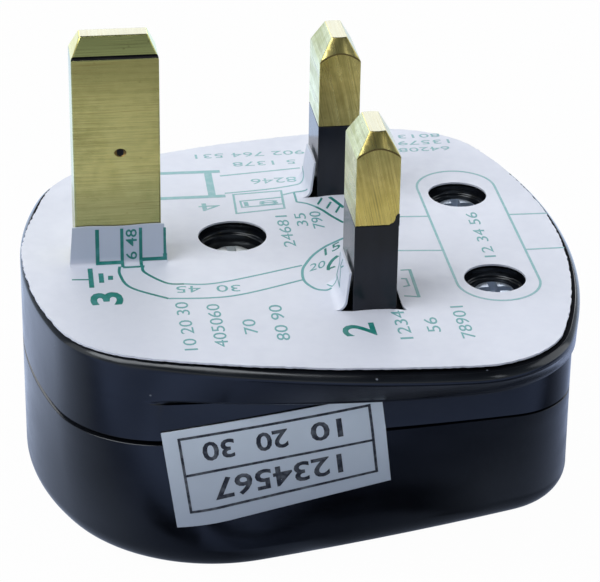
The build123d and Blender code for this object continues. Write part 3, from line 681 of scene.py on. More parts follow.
def paper_finish(looks):
    """Matt label paper with a soft fibre, and painted shade that darkens it towards its lower edge."""
    made = Shader("matt_label_paper")
    fibre = made.noise(1300.0, 4.0)
    cloud = made.noise(140.0, 3.0)
    clean = made.mix(made.ramp(cloud, 0.35, 0.7), looks.paper_colour, darker(looks.paper_colour, 0.88))
    # painted shade: darker towards the label's lower edge
    painted_lower_shade = made.ramp(made.axis("Z"), LABEL_HIGH.z - 2.0 * MM, LABEL_LOW.z + 1.0 * MM)
    made.put(Base_Color=made.mix(painted_lower_shade, clean, looks.lower_shade_colour))
    made.put(Roughness=made.ramp(fibre, 0.3, 0.7, 0.50, 0.66))
    made.put(Normal=made.bump(fibre, 0.010 * MM, 0.5))
    return made.material


def rough_finish(made, grain, tone, part, rough, depth):
    """One colour that darkens with a grain, which also roughens the surface."""
    made.put(Base_Color=made.mix(made.ramp(grain, 0.35, 0.7), tone, darker(tone, part)))
    made.put(Roughness=made.ramp(grain, 0.3, 0.7, rough, rough + 0.15))
    made.put(Normal=made.bump(grain, depth, 0.5))
    return made.material


def plain_metal_finish(name, tone, rough):
    """Rolled or turned metal, for small marks and the parts inside."""
    made = Shader(name)
    made.put(Metallic=1.0)
    rolled = made.noise(180.0, 4.0, made.stretched((1.0, 1.0, 8.0)))
    return rough_finish(made, rolled, tone, 0.7, rough, 0.006 * MM)


def dull_finish(name, tone, rough):
    """Unglazed or dull moulded surface for the parts inside."""
    made = Shader(name)
    return rough_finish(made, made.noise(800.0, 4.0), tone, 0.8, rough, 0.010 * MM)


# The flat card, its folds and what is printed on it

# How far a printed point moves for each unit that the card has lifted under it
LIFT_SHIFT = (0.287, 1.92)
# The air under the card, the spacing of points along its cuts and over its face, and how near the two come
CARD_AIR = 0.02 * MM
CUT_STEP = 0.46 * MM
FACE_STEP = 1.1 * MM
FACE_CLEAR = 0.5 * MM
# The card's round holes, and the corners of a side pin's hole from the pin's middle in millimetres
COVER_HOLE = 3.28 * MM
GRIP_HOLE = 2.88 * MM
SIDE_HOLE = ((-2.05, -3.23), (1.4, -3.23), (2.1, -3.31), (2.95, -3.53), (2.66, -2.63), (2.70, -0.5),
             (2.78, 1.8), (2.07, 3.25), (-2.05, 3.25))
# The fold of the earth pin's flap, in millimetres
FLAP_ROOT = -2.65


def hump(value, middle, width):
    """A soft hump along one axis, with its middle and width in millimetres."""
    return math.exp(-((value / MM - middle) / width) ** 2)


class FlatCard:
    """The card's flat layout in metres, and where each point of it is once the flaps are folded."""

    def __init__(self, looks):
        self.looks = looks
        gap = looks.stand + CARD_AIR
        self.earth_root = EARTH_FRONT - gap - looks.bend
        self.earth_half = 4.6 * MM
        self.earth_lean = math.radians(89.0)
        self.side_root = FRONT_LOW.x - gap - looks.side_bend - 0.33 * MM
        self.side_lean = math.radians(84.6)
        self.side_near = 2.85 * MM
        self.side_far = 2.95 * MM

    def lift(self, x, y):
        """How far the card stands off the pin face at a point."""
        bow = noise.noise(Vector((x, y, 0.0)) / (17.0 * MM) + Vector((3.1, 1.7, 0.4)))
        near_edge = hump(x, 3.0, 7.0) * max(0.0, (-15.0 * MM - y) / (8.0 * MM))
        by_back_pin = hump(x, 0.0, 6.0) * hump(y, 9.3, 6.0)
        by_front_pin = hump(x, 0.0, 2.5) * hump(y, -14.2, 2.0)
        return (self.looks.wave * (0.5 + 0.5 * bow + 1.2 * min(1.0, near_edge))
                + self.looks.back_lift * by_back_pin + self.looks.front_lift * by_front_pin)

    def top(self, x, y):
        """The card's upper surface at a point."""
        return Vector((x, y, PIN_FACE + self.looks.stand + CARD_AIR + self.lift(x, y)))

    def fold(self, s, end, bend):
        """How far in and how high a point of a flap is, by its distance from the fold."""
        arc = bend * end
        if s <= arc:
            return bend * math.sin(s / bend), bend * (1.0 - math.cos(s / bend)), s / bend
        rest = s - arc
        return (bend * math.sin(end) + rest * math.cos(end),
                bend * (1.0 - math.cos(end)) + rest * math.sin(end), end)

    def earth_point(self, x, s, rise=0.0):
        """A point on the earth pin's flap, s along it from its root."""
        along, up, turn = self.fold(s, self.earth_lean, self.looks.bend)
        root = self.top(x, self.earth_root)
        return root + Vector((0.0, along - rise * math.sin(turn), up + rise * math.cos(turn)))

    def side_point(self, y, s, rise=0.0):
        """A point on a side pin's flap, s along it from its root."""
        along, up, turn = self.fold(s, self.side_lean, self.looks.side_bend)
        root = self.top(self.side_root, y)
        return root + Vector((along - rise * math.sin(turn), 0.0, up + rise * math.cos(turn)))

    def earth_flap(self, across, s):
        """A point of the earth pin's flap, by its share across it and its distance from the fold."""
        up = s / self.looks.earth_flap
        x = EARTH_MIDDLE + self.earth_half * (2.0 * across - 1.0) * (1.0 - 0.07 * up)
        return self.earth_point(x, s + 0.05 * MM * up * math.sin(9.0 * across))

    def side_flap(self, row, across, s):
        """The same for a side pin's flap, which narrows from its far side."""
        drawn_in = (1.0 - 0.7 * across) * MM * s / self.looks.side_flap
        return self.side_point(row + self.side_far * (1.0 - across) - self.side_near * across - drawn_in, s)

    def printed(self, x, y, rise):
        """Where a printed point of the flat layout is, a little above the card."""
        flat_x, flat_y = x, y
        for _ in range(8):
            height = self.lift(x, y)
            x, y = flat_x - LIFT_SHIFT[0] * height, flat_y - LIFT_SHIFT[1] * height
        if y > self.earth_root and abs(x - EARTH_MIDDLE) < self.earth_half and y < 3.0 * MM:
            return self.earth_point(x, y - self.earth_root, rise)
        if self.side_root < x < 2.0 * MM and abs(abs(y) - ROW_HALF) < self.side_near:
            return self.side_point(y, x - self.side_root, rise)
        return self.top(x, y) + Vector((0.0, 0.0, rise))


def divided(corners, step):
    """A closed outline with its straight sides divided."""
    made = []
    for a, b in zip(corners, corners[1:] + corners[:1]):
        a, b = Vector(a), Vector(b)
        parts = max(1, round((b - a).length / step))
        made += [a.lerp(b, k / parts) for k in range(parts)]
    return made


def inside(point, loop):
    """Whether a point is inside a closed outline."""
    hit = False
    for a, b in zip(loop, loop[1:] + loop[:1]):
        if (a.y > point.y) != (b.y > point.y):
            if point.x < a.x + (b.x - a.x) * (point.y - a.y) / (b.y - a.y):
                hit = not hit
    return hit


def card_loops(flat):
    """The card's ragged outline and its holes."""
    looks = flat.looks
    ring = outer_ring("instruction_card", CARD_LOW.z + 0.3 * MM)
    insets = []
    for p in ring:
        coarse, fine = (noise.noise(p.to_3d() / (size * MM)) for size in (4.0, 0.45))
        rag = max(0.0, looks.rag * (0.5 + 0.8 * coarse + 1.3 * fine))
        slipped = held((-9.0 * MM - p.x) / (11.0 * MM)) * held((10.0 * MM - p.y) / (8.0 * MM))
        insets.append(rag - looks.slip * slipped)
    outline = [p.xy for p in at_level(ring, 0.0, insets)]
    holes = [circle_loop(COVER_SCREW, COVER_HOLE, 72)]
    holes += [circle_loop(p, GRIP_HOLE, 64) for p in GRIP_SCREWS]
    left, right = EARTH_MIDDLE - flat.earth_half, EARTH_MIDDLE + flat.earth_half
    draw, back, rear = 0.45 * MM, flat.earth_root + 0.42 * MM, 2.15 * MM
    holes.append(divided([(left, flat.earth_root), (right, flat.earth_root), (right - draw, back),
                          (right - draw, rear), (left + draw, rear), (left + draw, back)], CUT_STEP))
    for row in (-ROW_HALF, ROW_HALF):
        corners = [(flat.side_root, row + flat.side_far), (flat.side_root, row - flat.side_near)]
        holes.append(divided(corners + [(x * MM, row + y * MM) for x, y in SIDE_HOLE], CUT_STEP))
    return outline, holes


def card_sheet(flat):
    """The card as one sheet with its flaps folded up."""
    outline, holes = card_loops(flat)

    def on_card(point):
        return inside(point, outline) and not any(inside(point, hole) for hole in holes)

    points, edges = [], []
    for loop in [outline] + holes:
        start = len(points)
        points += loop
        edges += [(start + k, start + (k + 1) % len(loop)) for k in range(len(loop))]
    edge_points = list(points)
    for i in range(-30, 22):
        for j in range(-26, 27):
            p = Vector((i * FACE_STEP, j * FACE_STEP))
            if on_card(p) and min((p - q).length_squared for q in edge_points) > FACE_CLEAR ** 2:
                points.append(p)
    spots, _, faces, _, _, _ = delaunay_2d_cdt(points, edges, [], 0, 1e-9)
    bm = bmesh.new()
    verts = [bm.verts.new(flat.top(p.x, p.y)) for p in spots]
    for face in faces:
        if on_card(sum((spots[i] for i in face), Vector((0.0, 0.0))) / len(face)):
            bm.faces.new([verts[i] for i in face])
    bmesh.ops.delete(bm, geom=[v for v in bm.verts if not v.link_faces], context="VERTS")
    looks = flat.looks
    add_flap(bm, 2.0 * flat.earth_half, 1.6 * looks.bend, looks.earth_flap, flat.earth_flap)
    for row in (-ROW_HALF, ROW_HALF):
        add_flap(bm, flat.side_near + flat.side_far, 1.5 * looks.side_bend, looks.side_flap,
                 partial(flat.side_flap, row))
    bmesh.ops.remove_doubles(bm, verts=bm.verts, dist=0.002 * MM)
    bmesh.ops.recalc_face_normals(bm, faces=bm.faces)
    if sum(f.normal.z * f.calc_area() for f in bm.faces) < 0.0:
        bmesh.ops.reverse_faces(bm, faces=bm.faces)
    return bm


def add_grid(bm, rows):
    """Faces between rows of points."""
    rows = [[bm.verts.new(p) for p in row] for row in rows]
    for low, high in zip(rows, rows[1:]):
        for k in range(len(low) - 1):
            bm.faces.new((low[k], low[k + 1], high[k + 1], high[k]))


def add_flap(bm, width, turn, reach, place):
    """Add a folded flap, from its root on the card to its free edge."""
    columns = round(width / CUT_STEP)
    distances = [turn * k / 10 for k in range(11)]
    distances += [turn + (reach - turn) * k / 8 for k in range(1, 9)]
    add_grid(bm, [[place(k / columns, s) for k in range(columns + 1)] for s in distances])


def smooth_path(points, steps=10):
    """A smooth line through a few points."""
    ends = [points[0]] + list(points) + [points[-1]]
    made = []
    for a, b, c, d in zip(ends, ends[1:], ends[2:], ends[3:]):
        for k in range(steps):
            t = k / steps
            made.append(tuple(0.5 * (2 * q + (r - p) * t + (2 * p - 5 * q + 4 * r - s) * t * t
                                     + (3 * q - p - 3 * r + s) * t ** 3)
                              for p, q, r, s in zip(a, b, c, d)))
    return made + [points[-1]]


def arc_path(middle, radius, start, end, steps=24):
    """Part of a circle, between two bearings in degrees."""
    made = []
    for k in range(steps + 1):
        bearing = math.radians(start + (end - start) * k / steps)
        made.append((middle[0] + radius * math.cos(bearing), middle[1] + radius * math.sin(bearing)))
    return made


# Which way a line of numbers runs and which way its tops point
UPWARD = ((0.0, 1.0), (-1.0, 0.0))
TURNED = ((-1.0, 0.0), (0.0, -1.0))


class Print:
    """A layer of print, drawn flat in millimetres and laid on the card or the label."""

    def __init__(self, place):
        self.bm = bmesh.new()
        self.place = place

    def line(self, width, *path, closed=False):
        """A line of one width along a path."""
        points = [Vector(p) * MM for p in path]
        fine = []
        for a, b in zip(points, points[1:] + (points[:1] if closed else [])):
            parts = max(1, math.ceil((b - a).length / (0.5 * MM)))
            fine += [a.lerp(b, k / parts) for k in range(parts)]
        if not closed:
            fine.append(points[-1])
        count = len(fine)
        sides = []
        for k, p in enumerate(fine):
            before = fine[k - 1] if closed or k else p
            after = fine[(k + 1) % count] if closed or k < count - 1 else p
            first, second = (p - before).normalized(), (after - p).normalized()
            along = (first + second).normalized()
            out = Vector((-along.y, along.x))
            spread = max(0.5, out.dot(Vector((-second.y, second.x)))) if second.length else 1.0
            reach = out * (0.5 * width * MM / spread)
            sides.append([self.bm.verts.new(self.place(q)) for q in (p + reach, p - reach)])
        pairs = list(zip(sides, sides[1:])) + ([(sides[-1], sides[0])] if closed else [])
        for (a, b), (c, d) in pairs:
            self.bm.faces.new((a, b, d, c))

    def curve(self, width, *points):
        """A line that runs smoothly through a few points."""
        self.line(width, *smooth_path(points))

    def numbers(self, text, start, height, reach, bold=0.0, run=UPWARD):
        """Plain numbers set from a starting point, with the height and length they take up."""
        words = bpy.data.curves.new("numbers", "FONT")
        words.body = text
        words.offset = bold
        words.resolution_u = 3
        holder = add_object("numbers", words)
        graph = bpy.context.evaluated_depsgraph_get()
        flat = bpy.data.meshes.new_from_object(holder.evaluated_get(graph))
        bpy.data.objects.remove(holder)
        bpy.data.curves.remove(words)
        glyphs = bmesh.new()
        glyphs.from_mesh(flat)
        bpy.data.meshes.remove(flat)
        bmesh.ops.remove_doubles(glyphs, verts=glyphs.verts, dist=1e-5)
        bmesh.ops.triangulate(glyphs, faces=glyphs.faces)
        for _ in range(2):
            long_edges = [e for e in glyphs.edges if e.calc_length() > 0.2]
            bmesh.ops.subdivide_edges(glyphs, edges=long_edges, cuts=1)
            bmesh.ops.triangulate(glyphs, faces=glyphs.faces)
        xs, ys = ([v.co[axis] for v in glyphs.verts] for axis in (0, 1))
        along, up = (Vector(way).normalized() for way in run)
        along *= reach / (max(xs) - min(xs))
        up *= height / (max(ys) - min(ys))
        left, low = min(xs), min(ys)
        made = {}
        for v in glyphs.verts:
            spot = Vector(start) + along * (v.co.x - left) + up * (v.co.y - low)
            made[v] = self.bm.verts.new(self.place(spot * MM))
        for face in glyphs.faces:
            self.bm.faces.new([made[v] for v in face.verts])
        glyphs.free()

    def lay(self, name, hidden, thickness, ink):
        """Turn the faces whose normals are hidden outwards and make the layer a piece."""
        bmesh.ops.recalc_face_normals(self.bm, faces=self.bm.faces)
        for face in self.bm.faces:
            if hidden(face.normal):
                face.normal_flip()
        sheet = to_object(name, self.bm)
        thicken(sheet, thickness)
        finish_piece(sheet, [ink])


def strong_print(layer):
    """The dark print: terminal numbers, the earth sign, the wire and the pin outlines."""
    line, curve, numbers = layer.line, layer.curve, layer.numbers
    # Terminal numbers where the pins are named, and the earth sign
    numbers("3", (-22.4, -10.4), 3.0, 2.5, 0.03)
    numbers("2", (-0.5, -18.9), 3.0, 2.4, 0.012)
    line(0.22, (-26.8, -5.0), (-25.1, -5.15))
    line(0.46, (-24.98, -2.9), (-25.08, -6.8))
    line(0.46, (-24.05, -4.0), (-24.1, -5.9))
    line(0.46, (-23.2, -4.6), (-23.25, -5.4))
    # The earth wire where it leaves its flap
    curve(0.27, (-22.2, -2.8), (-22.3, -4.5), (-21.5, -7.2), (-18.3, -9.75))
    curve(0.27, (-20.0, -2.8), (-20.0, -4.2), (-18.2, -6.6), (-16.6, -7.0))
    line(0.34, (-21.9, -3.0), (-19.9, -3.0))
    # The flap's bracket and wires
    low, foot, step, top = (FLAP_ROOT + rise for rise in (-0.3, 0.5, 0.7, 3.95))
    line(0.36, (-24.2, top), (-24.2, foot), (-21.9, foot))
    line(0.30, (-21.9, low), (-21.9, top))
    line(0.30, (-20.15, low), (-20.15, top))
    line(0.36, (-20.0, step), (-17.9, step), (-17.9, step + 0.5))
    line(0.24, (-17.9, step + 0.5), (-17.9, top - 0.1))
    numbers("6 48", (-20.5, FLAP_ROOT + 0.75), 1.05, 3.1, 0.008)
    # The thick strand by the front pin and the wire that goes to the back pin
    curve(0.30, (-1.6, -2.83), (-2.27, -3.73), (-2.8, -4.9), (-2.95, -5.7))
    line(0.24, (-2.92, -5.46), (-2.2, -5.02))
    numbers("15", (-2.82, -2.69), 1.4, 2.3, 0.006, ((1.91, 1.69), (0.14, 1.48)))
    curve(0.28, (-2.13, 7.9), (-1.53, 6.96), (-0.89, 5.67), (0.01, 4.17))
    curve(0.36, (-0.5, 9.9), (-0.19, 9.22), (0.52, 7.42))
    numbers("111", (-1.95, 8.5), 1.5, 2.7, 0.0, ((2.05, -2.74), (0.74, 1.66)))


def small_print(layer):
    """Finer print: columns of plain numbers where the wires' colours are written, and thin outlines."""
    line, curve, numbers = layer.line, layer.curve, layer.numbers
    columns = (
        ("10 20 30", -16.65, -19.8, 9.2, 1.2), ("405060", -13.87, -19.5, 8.2, 1.2),
        ("70", -11.0, -17.4, 2.8, 1.2), ("80 90", -8.28, -18.9, 6.8, 1.2),
        ("1234", 2.6, -19.9, 5.4, 1.2), ("56", 5.3, -18.9, 2.8, 1.2), ("78901", 8.15, -20.4, 6.2, 1.2),
        ("24681", -5.2, -0.4, 6.8, 1.15), ("35", -3.4, 3.9, 2.8, 1.1), ("790", -1.9, 3.2, 3.7, 1.1),
        ("12 34 56", 13.25, -4.7, 9.8, 1.1),
    )
    for text, baseline, start, reach, height in columns:
        numbers(text, (baseline, start), height, reach)
    # The rest of the earth wire and the loop at its end
    curve(0.22, (-18.3, -9.75), (-12.5, -9.9), (-5.6, -7.4))
    curve(0.22, (-16.6, -7.0), (-13.3, -7.1), (-5.25, -4.45))
    numbers("30  45", (-11.5, -7.75), 1.3, 5.9, 0.0, ((-1.0, 0.06), (-0.06, -1.0)))
    curve(0.26, (-0.43, 0.88), (-1.6, -0.01), (-2.64, -0.91), (-3.84, -2.36), (-4.78, -4.03),
          (-5.36, -5.54), (-5.48, -7.63), (-4.76, -9.25), (-3.87, -9.71), (-3.2, -9.5))
    numbers("20", (-4.75, -5.8), 1.5, 1.75, 0.0, ((1.62, 0.79), (0.34, 1.63)))
    # Loose strands, which run up the front pin's flap
    line(0.14, (-3.5, -8.6), (-3.1, -9.3), (-2.0, -8.9), (-2.3, -10.6), (-0.6, -10.1), (0.1, -11.2))
    line(0.12, (-2.1, -8.7), (-0.5, -9.4), (0.4, -9.0))
    line(0.12, (-0.6, -9.9), (0.5, -10.6))
    # The terminal behind the front pin
    line(0.2, (3.75, -6.47), (4.63, -6.47))
    line(0.3, (4.63, -6.4), (4.5, -12.08))
    line(0.2, (4.5, -12.0), (3.19, -11.65))
    line(0.18, (3.5, -8.19), (3.97, -8.24), (4.01, -9.68), (3.43, -9.79))
    # The end of the wire to the back pin
    curve(0.24, (-3.83, 9.24), (-2.91, 8.74), (-2.13, 7.9))
    line(0.22, (-3.83, 9.24), (-3.8, 11.46), (-2.92, 11.55), (-2.3, 11.3))


def pale_print(layer):
    """The thin worn outlines of the fuse, the wires and the cord grip, and the far numbers."""
    line, numbers = layer.line, layer.numbers
    turned = (
        ("8246", -3.1, 15.1, 4.6, 1.2), ("5 1378", -2.6, 19.3, 6.4, 1.0),
        ("902 764 531", -1.4, 21.6, 11.2, 1.0), ("64208", 13.6, 20.9, 5.3, 0.95),
        ("13579", 13.9, 22.6, 5.4, 0.95), ("8013", 13.2, 24.2, 4.4, 0.85), ("4", -11.4, 10.0, 2.1, 1.7),
    )
    for text, start, baseline, reach, height in turned:
        numbers(text, (start, baseline), height, reach, 0.0, TURNED)
    # The slot round the cord-grip screws
    slot = arc_path((12.4, -9.7), 3.9, 180.0, 360.0) + arc_path((12.4, 10.9), 3.9, 0.0, 180.0)
    line(0.24, *slot, closed=True)
    # The cord's two edges, which stop at the slot
    line(0.22, (2.4, 5.1), (8.4, 4.7))
    line(0.22, (16.4, 4.2), (20.1, 4.1))
    line(0.22, (2.5, -2.2), (8.4, -2.8))
    line(0.22, (16.4, -3.5), (20.1, -3.5))
    # The bracket behind the earth pin
    line(0.6, (-18.6, 17.5), (-10.5, 17.3))
    line(0.75, (-11.75, 17.1), (-11.9, 11.7))
    line(0.6, (-18.6, 11.6), (-10.6, 11.5))
    # The wires to the back pin
    line(0.22, (-10.6, 16.2), (-2.4, 17.2))
    layer.curve(0.22, (-10.6, 12.1), (-6.5, 12.5), (-3.6, 13.1), (-2.4, 13.8), (-1.7, 15.6), (-1.2, 21.0))
    # The fuse and its holder
    line(0.22, (-9.8, 11.7), (-5.0, 12.0), (-5.2, 8.0), (-10.0, 7.4), closed=True)
    line(0.2, (-9.3, 10.1), (-5.1, 10.5), (-5.2, 9.0), (-9.3, 8.7), closed=True)
    line(0.22, (-5.0, 11.0), (-3.8, 11.46))
    numbers("18", (-9.0, 8.95), 0.9, 3.4, 0.0, ((1.0, 0.03), (-0.03, 1.0)))


class PLUG_OT_make_stage(bpy.types.Operator):
    """Set up the camera, the pale floor and the soft studio light"""
    bl_idname = "plug.make_stage"
    bl_label = "Make stage"

    def execute(self, context):
        looks = context.scene.plug_stage
        scene = context.scene
        scene.view_settings.view_transform = "Standard"
        self.add_camera(scene, looks)
        self.add_floor(looks)
        self.add_room(scene, looks)
        for name, place, size, watts in (
                ("top_light", (-0.27, -0.10, 0.48), (0.34, 0.40), looks.top_power),
                ("back_light", (0.05, 0.54, 0.29), (0.90, 0.40), looks.back_power),
                ("left_light", (-0.60, 0.0, 0.30), (0.45, 0.40), looks.left_power),
                ("strip_light", (0.405, -0.572, 0.528), (0.10, 0.30), looks.strip_power),
                ("right_light", (0.52, 0.06, 0.24), (0.40, 0.42), looks.right_power)):
            self.add_soft_light(name, place, size, watts)
        return {"FINISHED"}

    def add_camera(self, scene, looks):
        """The camera, set by its bearing, height, tilt and distance."""
        az, el, roll = looks.azimuth, looks.elevation, looks.roll
        back = Vector((math.sin(az) * math.cos(el), -math.cos(az) * math.cos(el), math.sin(el)))
        level = (-back).cross(Vector((0.0, 0.0, 1.0))).normalized()
        upright = level.cross(-back)
        right = level * math.cos(roll) + upright * math.sin(roll)
        up = upright * math.cos(roll) - level * math.sin(roll)
        camera = bpy.data.cameras.new("camera")
        camera.lens = looks.lens
        camera.sensor_width = 36.0
        camera.clip_start = 0.01
        holder = add_object("camera", camera)
        turn = Matrix((right, up, back)).transposed().to_4x4()
        holder.matrix_world = Matrix.Translation(Vector(looks.target) + back * looks.distance) @ turn
        scene.camera = holder

    def add_floor(self, looks):
        """A floor that is white to the camera and graded for what gloss and metal show of it."""
        bm = bmesh.new()
        bmesh.ops.create_grid(bm, x_segments=8, y_segments=8, size=3.0)
        floor = to_object("floor", bm)
        made = Shader("pale_floor")
        grain = made.noise(30.0, 3.0)
        made.put(Base_Color=made.mix(grain, looks.floor_colour, darker(looks.floor_colour, 0.985)))
        made.put(Roughness=0.9, Specular_IOR_Level=0.0)
        path = made.add("ShaderNodeLightPath").outputs
        white = made.add("ShaderNodeEmission", {"Color": (1.0, 1.0, 1.0, 1.0), "Strength": 1.0})
        seen = made.ramp(path["Is Camera Ray"], 0.0, 1.0, 0.0, 0.98)
        plain = made.add("ShaderNodeMixShader", {0: seen, 1: made.surface.outputs[0], 2: white.outputs[0]})
        x, y = made.axis("X"), made.axis("Y")
        glow = made.add("ShaderNodeEmission", {"Color": self.glow_tint(made, looks, x, y),
                                               "Strength": self.glow_strength(made, x, y)})
        mirrored = made.most(path["Is Glossy Ray"], path["Is Transmission Ray"])
        blend = made.add("ShaderNodeMixShader", {0: mirrored, 1: plain.outputs[0], 2: glow.outputs[0]})
        made.feed(made.tree.nodes["Material Output"].inputs["Surface"], blend.outputs[0])
        floor.data.materials.append(made.material)

    def glow_tint(self, made, looks, x, y):
        """The mirrored floor's colour: bluer in front and beside, warmer far off in front."""
        beside = made.most(made.span(y, -20.0, -28.0), made.span(x, 14.0, 30.0, 0.0, 0.45))
        tint = made.mix(beside, looks.mirror_colour, looks.front_colour)
        tint = made.mix(made.span(y, 28.0, 46.0), tint, looks.back_colour)
        return made.mix(made.span(y, -62.0, -68.0), tint, looks.far_colour)

    def glow_strength(self, made, x, y):
        """The mirrored floor's strength, a painted grading of light and shade that sets the reflections in
        the side walls, the flange and the brass.
        """
        span = made.span
        behind = made.plus(span(y, -24.0, 20.0, 0.0, 0.92), span(y, 30.0, 52.0, 0.0, 0.42))
        near = span(x, -28.0, -14.0, 0.35, 0.14)
        ahead = span(y, -28.0, -36.0, 0.0, 0.48)
        band = made.times(span(y, -46.0, -54.0), span(y, -67.0, -62.0), span(x, -22.0, -14.0),
                          span(x, -4.0, 10.0, 0.45, 0.14))
        dip = made.times(span(y, -44.0, -52.0), span(x, -8.0, 8.0, -0.06, -0.32))
        rise = made.times(span(y, -58.0, -66.0), span(x, -6.0, 6.0, -0.12, 0.20))
        cord_end = span(x, 16.0, 34.0, 1.0, 1.12)
        strength = made.times(made.plus(behind, near, ahead, band, dip, rise), cord_end)
        # A painted lit strip on the floor that the flange shows from below
        aslant = made.plus(y, span(x, -22.0, 2.0, 8.85 * MM, -9.15 * MM))
        painted_lit_strip = made.times(span(aslant, -28.0, -26.0), span(aslant, -21.0, -23.5),
                         span(x, -21.0, -17.5), span(x, -3.0, -6.0))
        strength = made.plus(strength, made.ramp(painted_lit_strip, 0.0, 1.0, 0.0, 0.20))
        earth_end = made.plus(span(x, -30.0, -36.0, 1.0, 0.80), span(x, -44.0, -54.0, 0.0, 0.24))
        return made.times(strength, earth_end, self.plug_shadow(made, x, y))

    def plug_shadow(self, made, x, y):
        """How much of the glow is left in the painted shadow along the plug's foot, as gloss shows it."""
        span = made.span
        right = span(x, -9.0, 11.0, 33.8 * MM, 19.1 * MM)
        left = span(x, -16.8, -18.3, 0.0, -5.6 * MM)
        end = span(x, -18.3, -26.0, 0.0, -1.6 * MM)
        across = made.plus(y, right, left, end)
        band = made.times(span(across, -2.6, -1.4), span(across, 2.3, 1.5))
        ends = made.times(span(x, -29.0, -25.0), span(x, 13.0, 6.0))
        gap = made.most(span(x, -17.7, -18.3), span(x, -17.2, -16.4))
        return made.ramp(made.times(band, ends, gap), 0.0, 1.0, 1.0, 0.04)

    def add_room(self, scene, looks):
        """Light from all round, brightest along the horizon and weakest straight up."""
        scene.world = bpy.data.worlds.new("studio")
        scene.world.use_nodes = True
        made = Nodes(scene.world.node_tree)
        bearing = made.add("ShaderNodeTexCoord").outputs["Generated"]
        height = made.add("ShaderNodeSeparateXYZ", {0: bearing}).outputs["Z"]
        overhead = made.ramp(height, 0.35, 0.95, looks.sky_strength, looks.zenith_strength)
        skyline = made.ramp(height, 0.05, 0.30, looks.skyline_share, 1.0)
        room = made.tree.nodes["Background"].inputs
        made.feed(room["Color"], (*looks.sky_colour, 1.0))
        made.feed(room["Strength"], made.times(overhead, skyline))

    def add_soft_light(self, name, place, size, watts):
        """A rectangular light that faces the plug."""
        lamp = bpy.data.lights.new(name, "AREA")
        lamp.shape = "RECTANGLE"
        lamp.size, lamp.size_y = size
        lamp.energy = watts
        holder = add_object(name, lamp)
        holder.location = place
        towards = Vector((0.0, 0.0, 0.02)) - Vector(place)
        holder.rotation_euler = towards.to_track_quat("-Z", "Y").to_euler()


